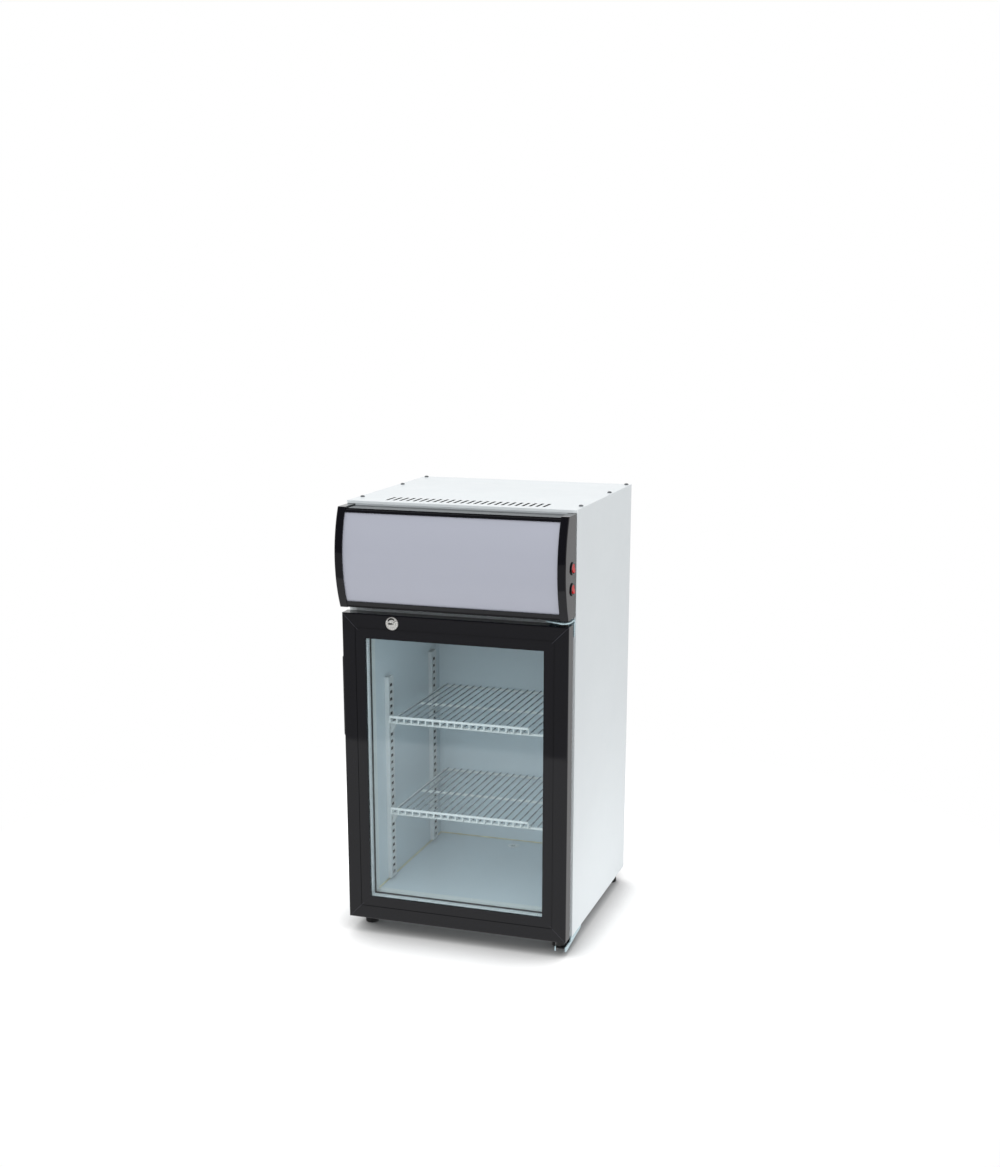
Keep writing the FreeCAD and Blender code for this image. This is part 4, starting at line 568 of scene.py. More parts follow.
def mitre_highlights():
    """A grey hairline where the door frame's bars meet at the corners: the greyish cut edge of the plastic
    and a painted highlight along the joint.
    """
    low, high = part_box("door_stile_left")[0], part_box("door_stile_right")[1]
    material = FINISHES["frame_black"]
    tree = material.node_tree
    parts = parts_of(tree, place_in(tree))
    from_side = calc(tree, "SUBTRACT", high.x, calc(tree, "ABSOLUTE", parts["X"]))
    from_foot = calc(tree, "SUBTRACT", parts["Z"], low.z)
    from_top = calc(tree, "SUBTRACT", high.z, parts["Z"])
    from_end = calc(tree, "MINIMUM", from_foot, from_top)
    apart = calc(tree, "ABSOLUTE", calc(tree, "SUBTRACT", from_side, from_end))
    near_corner = calc(tree, "LESS_THAN", from_side, MITRE_REACH)
    line = calc(tree, "MULTIPLY", calc(tree, "LESS_THAN", apart, MITRE_LINE), near_corner)
    cover_over(material, line, MITRE_HIGHLIGHT_GREY)


# Geometry Nodes helpers

NUMBER = "NodeSocketFloat"
WHOLE = "NodeSocketInt"
TURN = "NodeSocketRotation"
FINISH = "NodeSocketMaterial"


def start_tree(name, sizes):
    """A tree with a named input for each size, a material input, and its two end nodes."""
    tree = bpy.data.node_groups.new(name, "GeometryNodeTree")
    tree.interface.new_socket("Geometry", in_out="OUTPUT", socket_type="NodeSocketGeometry")
    tree.interface.new_socket("Geometry", in_out="INPUT", socket_type="NodeSocketGeometry")
    for label, kind in sizes.items():
        tree.interface.new_socket(label, in_out="INPUT", socket_type=kind)
    tree.interface.new_socket("Material", in_out="INPUT", socket_type=FINISH)
    return tree, add_node(tree, "NodeGroupInput").outputs, add_node(tree, "NodeGroupOutput")


def joined(tree, parts):
    node = add_node(tree, "GeometryNodeJoinGeometry")
    for part in parts:
        tree.links.new(part, node.inputs[0])
    return node.outputs[0]


def raised(tree, part, height):
    """A part moved up along Z."""
    return out_of(tree, "GeometryNodeTransform", {
        "Geometry": part, "Translation": point_at(tree, 0.0, 0.0, height)})


def coated(tree, part, material):
    return out_of(tree, "GeometryNodeSetMaterial", {"Geometry": part, "Material": material})


def copy_and_end(tree, given, output, part):
    """Turned copies of a part on the points of the tree's mesh, made real and given the finish."""
    copies = out_of(tree, "GeometryNodeInstanceOnPoints", {
        "Points": given["Geometry"], "Instance": part, "Rotation": given["Turn"]})
    real = out_of(tree, "GeometryNodeRealizeInstances", {"Geometry": copies})
    tree.links.new(coated(tree, real, given["Material"]), output.inputs[0])


def grow(name, tree, values, points=()):
    """Runs a tree with its sizes on some points and keeps the result as a plain piece."""
    mesh = bpy.data.meshes.new(name)
    mesh.from_pydata(points, [], [])
    piece = new_object(name, mesh)
    modifier = piece.modifiers.new("tree", "NODES")
    modifier.node_group = tree
    for item in tree.interface.items_tree:
        if item.in_out == "INPUT" and item.name in values:
            modifier[item.identifier] = values[item.name]
    return make_plain(piece)


# Wire shelves

SHELF_ROD = 5 * MM
SHELF_WIRE = 3 * MM
ROD_SIDES = 12
WIRE_SIDES = 10
BEND_STEPS = 5
WELD_SHARE = 0.48
FENCE_RISE = 14.7 * MM
FENCE_REACH = 15 * MM
WIRE_SIDE = 7 * MM
WIRE_COUNT = 22
FENCED_COUNT = 20


def wire(tree, path, diameter, sides):
    """A round wire along a path."""
    outline = out_of(tree, "GeometryNodeCurvePrimitiveCircle", {
        "Resolution": sides, "Radius": calc(tree, "DIVIDE", diameter, 2.0)})
    swept = out_of(tree, "GeometryNodeCurveToMesh", {
        "Curve": path, "Profile Curve": outline, "Fill Caps": True})
    return out_of(tree, "GeometryNodeSetShadeSmooth", {"Geometry": swept})


def straight(tree, start, end):
    return out_of(tree, "GeometryNodeCurvePrimitiveLine", {"Start": start, "End": end})


def in_a_row(tree, part, count, first, pitch):
    """Copies of a part along X."""
    row = out_of(tree, "GeometryNodeMeshLine", {
        "Count": count, "Start Location": point_at(tree, first, 0.0, 0.0),
        "Offset": point_at(tree, pitch, 0.0, 0.0)})
    return out_of(tree, "GeometryNodeInstanceOnPoints", {"Points": row, "Instance": part})


def bent_path(tree, rear, corner, tip, radius):
    """A line of three points with a rounded bend in the middle."""
    line = out_of(tree, "GeometryNodeResampleCurve", {"Curve": straight(tree, rear, corner), "Count": 3})
    index = out_of(tree, "GeometryNodeInputIndex")
    past_first = calc(tree, "GREATER_THAN", index, 0.5)
    past_second = calc(tree, "GREATER_THAN", index, 1.5)
    early = mix(tree, "VECTOR", past_first, rear, corner)
    late = mix(tree, "VECTOR", past_second, early, tip)
    moved = out_of(tree, "GeometryNodeSetPosition", {"Geometry": line, "Position": late})
    return out_of(tree, "GeometryNodeFilletCurve", {
        "Curve": moved, "Radius": radius, "Count": BEND_STEPS}, mode="POLY")


def shelf_tree():
    """A welded shelf: frame rods, wires across them that turn up at the front, and a fence rail."""
    tree, given, output = start_tree("wire_shelf", {
        "Half Width": NUMBER, "Front": NUMBER, "Back": NUMBER, "Level": NUMBER, "Rod": NUMBER,
        "Wire": NUMBER, "Pitch": NUMBER, "Wires": WHOLE, "Fenced": WHOLE, "Rise": NUMBER, "Reach": NUMBER,
        "Wire Shade Material": FINISH})
    half, front, back, height = given["Half Width"], given["Front"], given["Back"], given["Level"]
    rod, gauge, pitch = given["Rod"], given["Wire"], given["Pitch"]
    left = calc(tree, "MULTIPLY", half, -1.0)
    middle = calc(tree, "MULTIPLY", calc(tree, "ADD", front, back), 0.5)
    fence = calc(tree, "SUBTRACT", front, given["Reach"])
    lift = calc(tree, "MULTIPLY", calc(tree, "ADD", rod, gauge), WELD_SHARE)
    tread = calc(tree, "ADD", height, lift)
    rail_height = calc(tree, "ADD", height, given["Rise"])
    gaps = calc(tree, "SUBTRACT", given["Wires"], 1.0)
    first = calc(tree, "MULTIPLY", calc(tree, "MULTIPLY", gaps, pitch), -0.5)
    run = calc(tree, "MULTIPLY", pitch, given["Fenced"])
    plain_first = calc(tree, "ADD", first, run)
    fence_end = calc(tree, "SUBTRACT", plain_first, pitch)
    paths = []
    for x in (left, half):
        paths.append((point_at(tree, x, front, height), point_at(tree, x, back, height)))
    for y in (front, middle, back):
        paths.append((point_at(tree, left, y, height), point_at(tree, half, y, height)))
    paths.append((point_at(tree, first, fence, rail_height), point_at(tree, fence_end, fence, rail_height)))
    rods = joined(tree, [wire(tree, straight(tree, *path), rod, ROD_SIDES) for path in paths])
    rear = point_at(tree, 0.0, back, tread)
    corner = point_at(tree, 0.0, fence, tread)
    tip = point_at(tree, 0.0, fence, rail_height)
    bent = wire(tree, bent_path(tree, rear, corner, tip, gauge), gauge, WIRE_SIDES)
    fenced = in_a_row(tree, bent, given["Fenced"], first, pitch)
    level_wire = wire(tree, straight(tree, rear, point_at(tree, 0.0, front, tread)), gauge, WIRE_SIDES)
    plain_count = calc(tree, "SUBTRACT", given["Wires"], given["Fenced"])
    plain = in_a_row(tree, level_wire, plain_count, plain_first, pitch)
    parts = [coated(tree, rods, given["Material"])]
    parts += [coated(tree, part, given["Wire Shade Material"]) for part in (fenced, plain)]
    real = out_of(tree, "GeometryNodeRealizeInstances", {"Geometry": joined(tree, parts)})
    tree.links.new(real, output.inputs[0])
    return tree


def wire_shelves():
    """Two shelves, their white wires painted grey behind the fence as painted shade of the cold room, and
    white at it.
    """
    tree = shelf_tree()
    for node in ("upper_shelf", "lower_shelf"):
        low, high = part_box(node)
        hexagon = SHELF_ROD / math.sqrt(3)
        half = high.x - hexagon
        piece = grow(f"{node}.wires", tree, {
            "Half Width": half, "Front": low.y + hexagon + FENCE_REACH, "Back": high.y - hexagon,
            "Level": high.z - FENCE_RISE - SHELF_ROD / 2, "Rod": SHELF_ROD, "Wire": SHELF_WIRE,
            "Pitch": 2 * (half - WIRE_SIDE) / (WIRE_COUNT - 1), "Wires": WIRE_COUNT, "Fenced": FENCED_COUNT,
            "Rise": FENCE_RISE, "Reach": FENCE_REACH, "Material": FINISHES["shelf_white"],
            "Wire Shade Material": WIRE_SHADE_GREY})
        settle(piece, node, "shelf_white", node, keep=True)
    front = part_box("upper_shelf")[0].y + FENCE_REACH
    # White again at the fence, in front of the painted shade
    overpaint(WIRE_SHADE_GREY, SHELF_WHITE, [space_ahead(front)])


# Screws

SCREW_HEAD = 8.2 * MM
SCREW_RISE = 2.5 * MM
SCREW_SHANK = 3.9 * MM
SCREW_LENGTH = 7.9 * MM
HEAD_HEIGHT = 2.6 * MM
HEAD_PROFILE = ((1.0, 0.0), (1.0, 0.3), (0.93, 0.65), (0.78, 0.9), (0.55, 1.0))
HEAD_SIDES = 28
SHANK_SIDES = 16
RECESS_ARM = 1.1
RECESS_GROOVE = 0.24
LID_TURN = (0.0, 0.0, 0.5)
FACING_TURN = (math.pi / 2, 0.3, 0.0)
HANGING_TURN = (math.pi, 0.0, 0.9)


def screw_tree():
    """Pan heads with a cross recess, and their shanks, on the points of a mesh."""
    tree, given, output = start_tree("pan_head_screws", {
        "Head": NUMBER, "Rise": NUMBER, "Shank": NUMBER, "Length": NUMBER, "Turn": TURN})
    radius = calc(tree, "DIVIDE", given["Head"], 2.0)
    rings = []
    for width, height in HEAD_PROFILE:
        ring = out_of(tree, "GeometryNodeMeshCircle", {
            "Vertices": HEAD_SIDES, "Radius": calc(tree, "MULTIPLY", radius, width)})
        rings.append(raised(tree, ring, calc(tree, "MULTIPLY", given["Rise"], height)))
    head = out_of(tree, "GeometryNodeConvexHull", {"Geometry": joined(tree, rings)})
    recessed = add_node(tree, "GeometryNodeMeshBoolean", operation="DIFFERENCE", solver="EXACT")
    tree.links.new(head, recessed.inputs["Mesh 1"])
    arm = calc(tree, "MULTIPLY", radius, RECESS_ARM)
    groove = calc(tree, "MULTIPLY", radius, RECESS_GROOVE)
    for size in ((arm, groove), (groove, arm)):
        bar = out_of(tree, "GeometryNodeMeshCube", {"Size": point_at(tree, *size, given["Rise"])})
        tree.links.new(raised(tree, bar, given["Rise"]), recessed.inputs["Mesh 2"])
    shank = out_of(tree, "GeometryNodeMeshCylinder", {
        "Vertices": SHANK_SIDES, "Radius": calc(tree, "DIVIDE", given["Shank"], 2.0),
        "Depth": given["Length"]})
    sunk = raised(tree, shank, calc(tree, "MULTIPLY", given["Length"], -0.5))
    copy_and_end(tree, given, output, joined(tree, (recessed.outputs[0], sunk)))
    return tree


def fasteners():
    """Screws on the top cover, in the hinge plate and in the hinge bracket."""
    tree = screw_tree()
    sizes = {"Head": SCREW_HEAD, "Rise": SCREW_RISE, "Shank": SCREW_SHANK, "Length": SCREW_LENGTH}
    lids, facing, hanging = [], [], []
    for low, high in islands("top_screws"):
        lids.append(((low.x + high.x) / 2, (low.y + high.y) / 2, high.z - HEAD_HEIGHT))
    for low, high in islands("hinge_screws"):
        middle = (low + high) / 2
        if high.z - low.z > high.y - low.y:
            hanging.append((middle.x, middle.y, low.z + HEAD_HEIGHT))
        else:
            facing.append((middle.x, low.y + HEAD_HEIGHT, middle.z))
    piece = grow("top_screws.heads", tree, {**sizes, "Turn": LID_TURN, "Material": SCREW_STEEL}, lids)
    settle(piece, BODY_OF["top_screws"], "zinc_steel", "top_screws", material=SCREW_STEEL)
    zinc = {**sizes, "Material": FINISHES["zinc_steel"]}
    piece = grow("hinge_screws.facing", tree, {**zinc, "Turn": FACING_TURN}, facing)
    settle(piece, BODY_OF["hinge_screws"], "zinc_steel", "hinge_screws")
    piece = grow("hinge_screws.hanging", tree, {**zinc, "Turn": HANGING_TURN}, hanging)
    settle(piece, BODY_OF["hinge_screws"], "zinc_steel")


# Rear vents

VENT_COLUMNS = (126 * MM, -16 * MM)
VENT_ROWS = 10
VENT_PITCH = 13 * MM
VENT_TOP = 41 * MM
VENT_WIDTH = 130 * MM
LIP_DEPTH = 8 * MM
LIP_GAUGE = 0.8 * MM
LIP_TURN = math.radians(42)


def louvre_tree():
    """Slanted lips on the points of a mesh."""
    tree, given, output = start_tree("vent_louvres", {
        "Width": NUMBER, "Depth": NUMBER, "Gauge": NUMBER, "Turn": TURN})
    lip = out_of(tree, "GeometryNodeMeshCube", {
        "Size": point_at(tree, given["Width"], given["Depth"], given["Gauge"])})
    copy_and_end(tree, given, output, lip)
    return tree


def vent_louvres():
    """Pressed lips that lean into the machine space from the upper edge of each rear vent."""
    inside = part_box("rear_grille")[0].y
    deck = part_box("machine_deck")[1].z
    reach = LIP_DEPTH / 2 * math.cos(LIP_TURN)
    drop = LIP_DEPTH / 2 * math.sin(LIP_TURN)
    points = []
    for x in VENT_COLUMNS:
        for row in range(VENT_ROWS):
            points.append((x, inside - reach, deck + VENT_TOP + row * VENT_PITCH - drop))
    piece = grow("rear_grille.louvres", louvre_tree(), {
        "Width": VENT_WIDTH, "Depth": LIP_DEPTH, "Gauge": LIP_GAUGE, "Turn": (LIP_TURN, 0.0, 0.0),
        "Material": FINISHES["galvanised_sheet"]}, points)
    settle(piece, "cabinet", "galvanised_sheet")


# Feet

FOOT_PROFILE = [(0, 0), (11.4, 0), (12.4, 1.0), (12.4, 7.0), (11.6, 8.2), (8.2, 12.0), (7.4, 14.0),
                (6.6, 18.0), (6.6, 27.9), (3.9, 27.9), (3.9, 39.5), (0, 39.5)]


def feet():
    work = bmesh.new()
    for low, high in islands("feet"):
        centre = Vector(((low.x + high.x) / 2, (low.y + high.y) / 2, low.z))
        turned(work, FOOT_PROFILE, centre, "z")
    close_up(work)
    piece = new_object("feet.turned", as_mesh(work, "feet"))
    soften(piece, 0, TURNED_EDGE)
    settle(piece, BODY_OF["feet"], "foot_black", "feet")


# Lock face, in millimetres round its centre

ROSETTE_PROFILE = [(9.1, -27), (9.1, 0), (11.8, 0), (11.9, 1.4), (11.7, 2.5), (11.3, 2.9), (10.9, 2.7),
                   (10.7, 2.2), (7.1, 2.2), (7.1, -27), (9.1, -27)]
ROSETTE_SIDES = 64
DISH_LEVEL = 2.25
# Crescent of painted shade above the plug
CRESCENT_INNER = 7.2
CRESCENT_OUTER = 10.6
CRESCENT_ANGLE = 102
CRESCENT_HALF_ANGLE = 58
CRESCENT_STEPS = 24
MARK_RUNS = {"plug": (3.6, 6.7), "dish": (7.3, 10.5)}
MARK_ANGLE = math.radians(37)
MARK_WIDTH = 1.1
# Span across and span up of the painted shade over the keyhole
KEYHOLE = ((-6.5, 1.0), (-1.5, 1.5))
INLAY = 0.03


def inlay(name, body, centre, outline, height):
    """A thin dark plate on the lock, painted shade or a mark: an outline of (x, z) at a height over the
    door's face.
    """
    work = bmesh.new()
    rings = []
    for rise in (height - INLAY, height + INLAY):
        rings.append([work.verts.new(centre + Vector((x * MM, -rise * MM, z * MM))) for x, z in outline])
    prism(work, *rings)
    bmesh.ops.triangulate(work, faces=[face for face in work.faces if len(face.verts) > 4])
    close_up(work)
    settle(new_object(name, as_mesh(work, name)), body, "lock_nickel", material=SHADOW_GAP)


def lock_face():
    """A dished rosette with a crescent of painted shade above the plug, a mark across the two, and painted
    shade in the keyhole.
    """
    low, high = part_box("lock_housing")
    centre = Vector(((low.x + high.x) / 2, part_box("door_rail_top")[0].y, (low.z + high.z) / 2))
    work = bmesh.new()
    turned(work, ROSETTE_PROFILE, centre, "y", ROSETTE_SIDES)
    close_up(work)
    piece = new_object("lock_housing.turned", as_mesh(work, "lock_housing"))
    soften(piece, 0, TURNED_EDGE)
    settle(piece, "door", "lock_nickel", "lock_housing")
    inner, outer = [], []
    for step in range(CRESCENT_STEPS + 1):
        share = 2 * step / CRESCENT_STEPS - 1
        angle = math.radians(CRESCENT_ANGLE + share * CRESCENT_HALF_ANGLE)
        waist = CRESCENT_INNER + (CRESCENT_OUTER - CRESCENT_INNER) * (1 - abs(share) ** 3)
        inner.append((CRESCENT_INNER * math.cos(angle), CRESCENT_INNER * math.sin(angle)))
        outer.append((waist * math.cos(angle), waist * math.sin(angle)))
    # The crescent is painted shade: a dark plate where the dish's upper wall lies in shadow
    inlay("lock_crescent_shade", "door", centre, inner[1:-1] + outer[::-1], DISH_LEVEL)
    along = Vector((math.cos(MARK_ANGLE), math.sin(MARK_ANGLE)))
    across = along.orthogonal() * MARK_WIDTH / 2
    plug_face = (centre.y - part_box("lock_cylinder")[0].y) / MM
    carriers = {"plug": ("lock", plug_face), "dish": ("door", DISH_LEVEL)}
    for label, (start, end) in MARK_RUNS.items():
        body, height = carriers[label]
        mark = [along * start - across, along * end - across, along * end + across, along * start + across]
        inlay(f"lock_mark.{label}", body, centre, mark, height)
    # A dark plate of painted shade over the keyhole
    (left, right), (below, above) = KEYHOLE
    outline = [(left, below), (right, below), (right, above), (left, above)]
    inlay("lock_keyhole_shade", "lock", centre, outline, plug_face)


# Door seal and glazing spacer

# Inset in millimetres, and share of the seal's depth
BELLOWS = [(0.5, 0.0), (0.9, 0.16), (3.2, 0.24), (1.2, 0.4), (0.4, 0.62), (0.4, 0.9), (1.2, 1.0), (13.6, 1.0),
           (14.6, 0.92), (14.6, 0.64), (12.6, 0.58), (11.0, 0.42), (13.2, 0.26), (15.4, 0.16), (15.4, 0.0)]
BELLOWS_EDGE = 0.3 * MM
BELLOWS_ANGLE = 20
SPACER_HEIGHT = 10.8 * MM
SPACER_CLEARANCE = 0.3 * MM
SPACER_EDGE = 0.3 * MM
GLAZING_FROM = 10.5 * MM
GLAZING_TO = 13.2 * MM
GLAZING_RISE = 1.5 * MM
GLAZING_EDGE = 0.2 * MM
PRICK_PITCH = 4.2 * MM
PRICK_DIAMETER = 1.8 * MM
PRICK_DEPTH = 0.1 * MM
PRICK_SIDES = 8
PRICK_ROWS = (0.3, 0.7)
LEVEL_TURN = (0.0, 0.0, 0.0)
UPRIGHT_TURN = (0.0, math.pi / 2, 0.0)


def mitred_frame(name, half, low, high, profile):
    """A ring round the door: a closed profile of (inset, y), mitred at the four corners."""
    work = bmesh.new()
    corners = ((-1, -1), (1, -1), (1, 1), (-1, 1))
    loops = []
    for inset, y in profile:
        loop = []
        for side, end in corners:
            z = low + inset if end < 0 else high - inset
            loop.append(work.verts.new((side * (half - inset), y, z)))
        loops.append(loop)
    for loop, after in zip(loops, loops[1:] + loops[:1]):
        for index in range(len(corners)):
            beyond = (index + 1) % len(corners)
            work.faces.new((loop[index], loop[beyond], after[beyond], after[index]))
    close_up(work)
    return new_object(name, as_mesh(work, name))


def door_seal():
    """A bellows gasket: a dart edge on the door, two folds, and the flat strip that meets the cabinet."""
    low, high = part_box("door_gasket")
    depth = high.y - low.y
    profile = [(inset * MM, low.y + along * depth) for inset, along in BELLOWS]
    piece = mitred_frame("door_gasket.bellows", high.x, low.z, high.z, profile)
    soften(piece, BELLOWS_EDGE, BELLOWS_ANGLE)
    settle(piece, "door", "gasket_grey", "door_gasket")


def glazing_spacer():
    """The bright bar between the panes, a hair clear of both, and a dark bead behind the inner pane."""
    low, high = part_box("pane_spacer")
    near, far = low.y + SPACER_CLEARANCE, high.y - SPACER_CLEARANCE
    bar = mitred_frame("pane_spacer.bar", high.x, low.z, high.z, [
        (0, near), (SPACER_HEIGHT, near), (SPACER_HEIGHT, far), (0, far)])
    soften(bar, SPACER_EDGE)
    settle(bar, "door", "spacer_aluminium", "pane_spacer")
    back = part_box("inner_pane")[1].y
    bead = mitred_frame("glazing_bead", high.x, low.z, high.z, [
        (GLAZING_FROM, back), (GLAZING_TO, back), (GLAZING_TO - GLAZING_RISE, back + GLAZING_RISE),
        (GLAZING_FROM, back + GLAZING_RISE)])
    soften(bead, GLAZING_EDGE)
    settle(bead, "door", "grommet_rubber")


def prick_tree():
    """Small round pricks on the points of a mesh."""
    tree, given, output = start_tree("spacer_pricks", {"Diameter": NUMBER, "Turn": TURN})
    dot = out_of(tree, "GeometryNodeMeshCylinder", {
        "Vertices": PRICK_SIDES, "Radius": calc(tree, "DIVIDE", given["Diameter"], 2.0),
        "Depth": PRICK_DEPTH})
    copy_and_end(tree, given, output, dot)
    return tree


def steps_between(start, end):
    """Places at the pricks' pitch, centred between two ends and clear of the spacer's corners."""
    count = int((end - start - 2 * SPACER_HEIGHT) / PRICK_PITCH)
    return [(start + end) / 2 + (index - count / 2) * PRICK_PITCH for index in range(count + 1)]


def spacer_pricks():
    """Two rows of vent pricks along each inner face of the spacer."""
    low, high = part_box("pane_spacer")
    rows = [low.y + (high.y - low.y) * share for share in PRICK_ROWS]
    foot, head = low.z + SPACER_HEIGHT, high.z - SPACER_HEIGHT
    left, right = low.x + SPACER_HEIGHT, high.x - SPACER_HEIGHT
    level_runs = [(x, y, z) for x in steps_between(low.x, high.x) for y in rows for z in (foot, head)]
    upright_runs = [(x, y, z) for z in steps_between(low.z, high.z) for y in rows for x in (left, right)]
    tree = prick_tree()
    sizes = {"Diameter": PRICK_DIAMETER, "Material": PRICK_GREY}
    runs = {"level": (level_runs, LEVEL_TURN), "upright": (upright_runs, UPRIGHT_TURN)}
    for label, (points, turn) in runs.items():
        piece = grow(f"spacer_pricks.{label}", tree, {**sizes, "Turn": turn}, points)
        settle(piece, "door", "spacer_aluminium", material=PRICK_GREY)


# Cold room details

SEALANT_WIDTH = 2.4 * MM
SEALANT_INSET = 0.35 * SEALANT_WIDTH
SEALANT_SETBACK = 12 * MM
SEALANT_STEPS = 40
SEALANT_SMOOTH = 3
SEALANT_WAVES = ((0.16, 1.7), (0.1, 0.61))
STRIP_WIDTH = 13 * MM
STRIP_GAUGE = 0.7 * MM
STRIP_FOOT = 2 * MM
STRIP_HEAD = 1 * MM
STRIP_EDGE = 0.25 * MM


def sealant_bead():
    """A wavering line of sealant along the foot of the side and back walls."""
    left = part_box("liner_left")[1].x + SEALANT_INSET
    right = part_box("liner_right")[0].x - SEALANT_INSET
    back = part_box("liner_back")[0].y - SEALANT_INSET
    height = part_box("liner_floor")[1].z + SEALANT_INSET
    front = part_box("liner_left")[0].y + SEALANT_SETBACK
    path = [(left, front), (left, back), (right, back), (right, front)]
    spots = []
    for (x0, y0), (x1, y1) in zip(path, path[1:]):
        for step in range(SEALANT_STEPS):
            share = step / SEALANT_STEPS
            spots.append((x0 + (x1 - x0) * share, y0 + (y1 - y0) * share))
    spots.append(path[-1])
    curve = bpy.data.curves.new("sealant", "CURVE")
    curve.dimensions = "3D"
    curve.bevel_depth = SEALANT_WIDTH / 2
    curve.bevel_resolution = SEALANT_SMOOTH
    curve.use_fill_caps = True
    spline = curve.splines.new("POLY")
    spline.points.add(len(spots) - 1)
    for index, (point, (x, y)) in enumerate(zip(spline.points, spots)):
        point.co = (x, y, height, 1)
        point.radius = 1 + sum(size * math.sin(index * rate) for size, rate in SEALANT_WAVES)
    holder = new_object("sealant_bead.path", curve)
    mesh = plain_mesh(holder)
    bpy.data.objects.remove(holder)
    mesh.shade_smooth()
    settle(new_object("sealant_bead", mesh), "cabinet", "gasket_grey", material=SEALANT)


def corner_strips():
    """Cover strips up the two back corners of the cold room."""
    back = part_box("liner_back")[0].y
    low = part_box("liner_floor")[1].z + STRIP_FOOT
    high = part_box("evaporator_cover")[0].z - STRIP_HEAD
    outline = [(0, 0), (STRIP_WIDTH, 0), (STRIP_WIDTH, STRIP_GAUGE), (STRIP_GAUGE, STRIP_GAUGE),
               (STRIP_GAUGE, STRIP_WIDTH), (0, STRIP_WIDTH)]
    walls = {"left": (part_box("liner_left")[1].x, 1), "right": (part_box("liner_right")[0].x, -1)}
    for label, (wall, turn) in walls.items():
        work = bmesh.new()
        rings = []
        for z in (low, high):
            rings.append([work.verts.new((wall + turn * x, back - y, z)) for x, y in outline])
        prism(work, *rings)
        close_up(work)
        piece = new_object(f"corner_strip.{label}", as_mesh(work, label))
        soften(piece, STRIP_EDGE)
        settle(piece, "cabinet", "liner_white")


# Solids whose shape is right: the width of their soft edges in millimetres, or the angle that stays sharp

SOFT_EDGES = {
    "left_side_panel": 0.4, "right_side_panel": 0.4, "top_cover": 0.12, "back_panel": 0.3,
    "base_plate": 0.3, "front_panel": 0.3, "machine_deck": 0.3, "liner_left": 0.35, "liner_right": 0.35,
    "liner_floor": 0.35, "liner_ceiling": 0.35, "liner_back": 0.3, "hinge_bracket": 0.5, "hinge_plate": 0.6,
    "hinge_pins": 0.4, "canopy_end_left": 0.8, "canopy_end_right": 0.8, "canopy_top_rail": 0.5,
    "canopy_bottom_rail": 0.5, "canopy_panel": 0.3, "canopy_lamp": 0.5, "switch_housings": 0.35,
    "shelf_standards": 0.25, "shelf_clips": 0.4, "evaporator_cover": 0.4, "condenser_fan_frame": 0.5,
    "compressor_grommets": 0.6, "thermostat": 0.8, "drain_tube": 0.3, "cable_gland": 0.4,
    "door_rail_top": 0.8, "door_rail_bottom": 0.8, "door_stile_left": 0.8, "door_stile_right": 0.8,
    "outer_pane": 0.4, "inner_pane": 0.4, "hinge_bushes": 0.4, "lock_cylinder": 0.25,
    "light_rocker": 0.7, "power_rocker": 0.7, "condenser_fan": 0.3, "evaporator_fan": 0.3,
    "thermostat_knob": 0.8, "evaporator": 0.2, "condenser": 0.2, "foam_insulation": 0.3,
}
ROUND_WORK = {
    "rear_grille": 32, "compressor": 45, "liquid_line": 70, "discharge_tube": 70, "suction_tube": 70,
}


# Stage

FLOOR_SIZE = 20.0
FLOOR_LIFT = 0.6
LIFT_POWER = 2.5
CONTACT_REACH = 0.15
PAPER_TONE = 0.88
# Colour of the paper in painted contact shade
CONTACT_SHADE_TONE = 0.3
CONTACT_RANGE = (0.1, 0.8)
SHADOW_REACH = 0.6
PAPER_END = -1.43
PAPER_BLEND = 0.01
PAPER_GLOW = (0.32, 0.68)
SKY_LIGHT = 0.85
SKY_RIGHT = 0.72
DIM_ROOM = 0.09
DIM_EDGE = (-0.45, -0.15)
# Place, aim, width, height and watts
LAMPS = {
    "overhead": ((0.1, -0.2, 2.6), (0.0, 0.0, 0.5), 2.4, 2.4, 7),
    "front": ((0.1, -2.6, 1.9), (0.0, -0.1, 0.4), 1.6, 1.6, 21),
    "low_right": ((0.55, 0.03, 0.06), (0.2, 0.03, 0.05), 0.5, 0.1, 0.4),
}


def glow(tree, strength):
    return out_of(tree, "ShaderNodeEmission", {"Color": WHITE, "Strength": strength})


def blend(tree, factor, first, second):
    return out_of(tree, "ShaderNodeMixShader", {0: factor, 1: first, 2: second})


def seen_straight(tree, rays):
    """1 for what the camera sees itself or through glass, 0 for light and reflections."""
    return calc(tree, "MAXIMUM", rays["Is Camera Ray"], rays["Is Transmission Ray"])


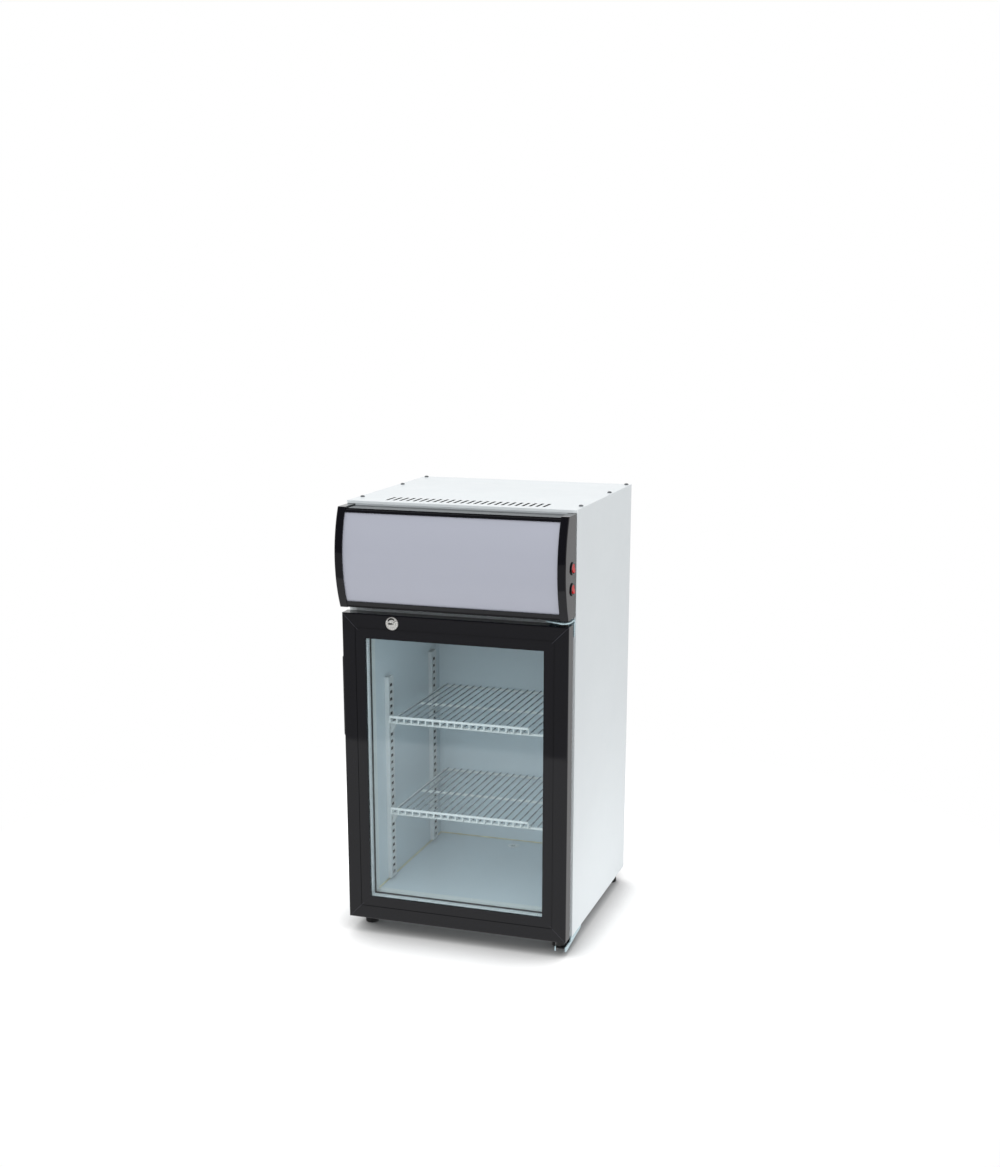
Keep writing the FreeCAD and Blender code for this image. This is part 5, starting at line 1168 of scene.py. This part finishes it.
def floor_finish():
    """White paper with painted contact shadows: darker colour and weaker glow where ambient occlusion closes
    in. Polished faces see it bright near the object and dim ahead of it.
    """
    material = bpy.data.materials.new("paper_floor")
    material.use_nodes = True
    tree = material.node_tree
    tree.nodes.clear()
    place = add_node(tree, "ShaderNodeTexCoord").outputs["Object"]
    rays = add_node(tree, "ShaderNodeLightPath").outputs
    paper = out_of(tree, "ShaderNodeBsdfDiffuse", {"Color": (PAPER_TONE, PAPER_TONE, PAPER_TONE, 1)})
    # Painted contact shadow: ambient occlusion darkens the colour and dims the glow near the object
    open_sky = add_node(tree, "ShaderNodeAmbientOcclusion", {"Distance": CONTACT_REACH}).outputs["AO"]
    lift = glow(tree, calc(tree, "MULTIPLY", calc(tree, "POWER", open_sky, LIFT_POWER), FLOOR_LIFT))
    tone = level(tree, open_sky, CONTACT_SHADE_TONE, PAPER_TONE, *CONTACT_RANGE)
    shaded = out_of(tree, "ShaderNodeBsdfDiffuse", {"Color": point_at(tree, tone, tone, tone)})
    close = out_of(tree, "ShaderNodeAddShader", {0: shaded, 1: lift})
    reach = add_node(tree, "ShaderNodeVectorMath", {0: place}, operation="LENGTH").outputs["Value"]
    away = level(tree, reach, 0.0, 1.0, SHADOW_REACH, 2 * SHADOW_REACH)
    seen = blend(tree, away, close, glow(tree, 1.0))
    base = blend(tree, seen_straight(tree, rays), paper, seen)
    ahead = parts_of(tree, place)["Y"]
    mirror = glow(tree, level(tree, ahead, *PAPER_GLOW, PAPER_END - PAPER_BLEND, PAPER_END + PAPER_BLEND))
    mixed = blend(tree, rays["Is Glossy Ray"], base, mirror)
    add_node(tree, "ShaderNodeOutputMaterial", {"Surface": mixed})
    return material


def room():
    """A white backdrop that lights the object. Polished faces see a dim room in front of it."""
    world = bpy.data.worlds.new("room")
    bpy.context.scene.world = world
    world.use_nodes = True
    tree = world.node_tree
    tree.nodes.clear()
    rays = add_node(tree, "ShaderNodeLightPath").outputs
    way = parts_of(tree, add_node(tree, "ShaderNodeTexCoord").outputs["Generated"])
    mirrored = level(tree, way["Y"], DIM_ROOM, 1.0, *DIM_EDGE)
    light = level(tree, way["X"], SKY_LIGHT, SKY_RIGHT, 0.0, 1.0)
    plain = level(tree, seen_straight(tree, rays), light, 1.0, 0.0, 1.0)
    strength = mix(tree, "FLOAT", rays["Is Glossy Ray"], plain, mirrored)
    sky = out_of(tree, "ShaderNodeBackground", {"Color": WHITE, "Strength": strength})
    add_node(tree, "ShaderNodeOutputWorld", {"Surface": sky})


def softbox(name, spot, target, width, height, power):
    """A lamp that lights the object and isn't seen by the camera, in reflections or through glass."""
    lamp = bpy.data.lights.new(name, "AREA")
    lamp.shape = "RECTANGLE"
    lamp.size = width
    lamp.size_y = height
    lamp.energy = power
    holder = new_object(name, lamp)
    holder.location = spot
    holder.rotation_euler = (Vector(target) - Vector(spot)).to_track_quat("-Z", "Y").to_euler()
    holder.visible_glossy = False
    holder.visible_camera = False
    holder.visible_transmission = False


def stage():
    mesh = bpy.data.meshes.new("floor")
    far = FLOOR_SIZE / 2
    mesh.from_pydata([(-far, -far, 0), (far, -far, 0), (far, far, 0), (-far, far, 0)], [], [(0, 1, 2, 3)])
    floor = new_object("floor", mesh)
    floor.data.materials.append(floor_finish())
    room()
    for name, settings in LAMPS.items():
        softbox(name, *settings)


# Camera, fitted to the photo's corners

CAMERA_SPOT = (0.9478, -2.8062, 1.1887)
CAMERA_TURN = 18.323
CAMERA_TILT = 14.985
FOCAL_PIXELS = 1592.7
FRAME_HEIGHT = 1167
FRAME_CENTRE = FRAME_HEIGHT / 2
HORIZON_ROW = 712
SENSOR = 36


def camera():
    lens = bpy.data.cameras.new("camera")
    lens.sensor_width = SENSOR
    lens.lens = SENSOR * FOCAL_PIXELS / FRAME_HEIGHT
    lens.shift_y = (HORIZON_ROW - FRAME_CENTRE) / FRAME_HEIGHT
    holder = new_object("camera", lens)
    holder.location = CAMERA_SPOT
    holder.rotation_euler = (math.radians(90 - CAMERA_TILT), 0, math.radians(CAMERA_TURN))
    bpy.context.scene.camera = holder


# Assembly

paint_and_shade_inside()
mitre_highlights()
wire_shelves()
fasteners()
vent_louvres()
feet()
lock_face()
door_seal()
glazing_spacer()
spacer_pricks()
sealant_bead()
corner_strips()
for node, width in SOFT_EDGES.items():
    softened(node, width * MM)
for node, angle in ROUND_WORK.items():
    softened(node, 0, angle)
stage()
camera()
bpy.context.scene.view_settings.view_transform = "Standard"
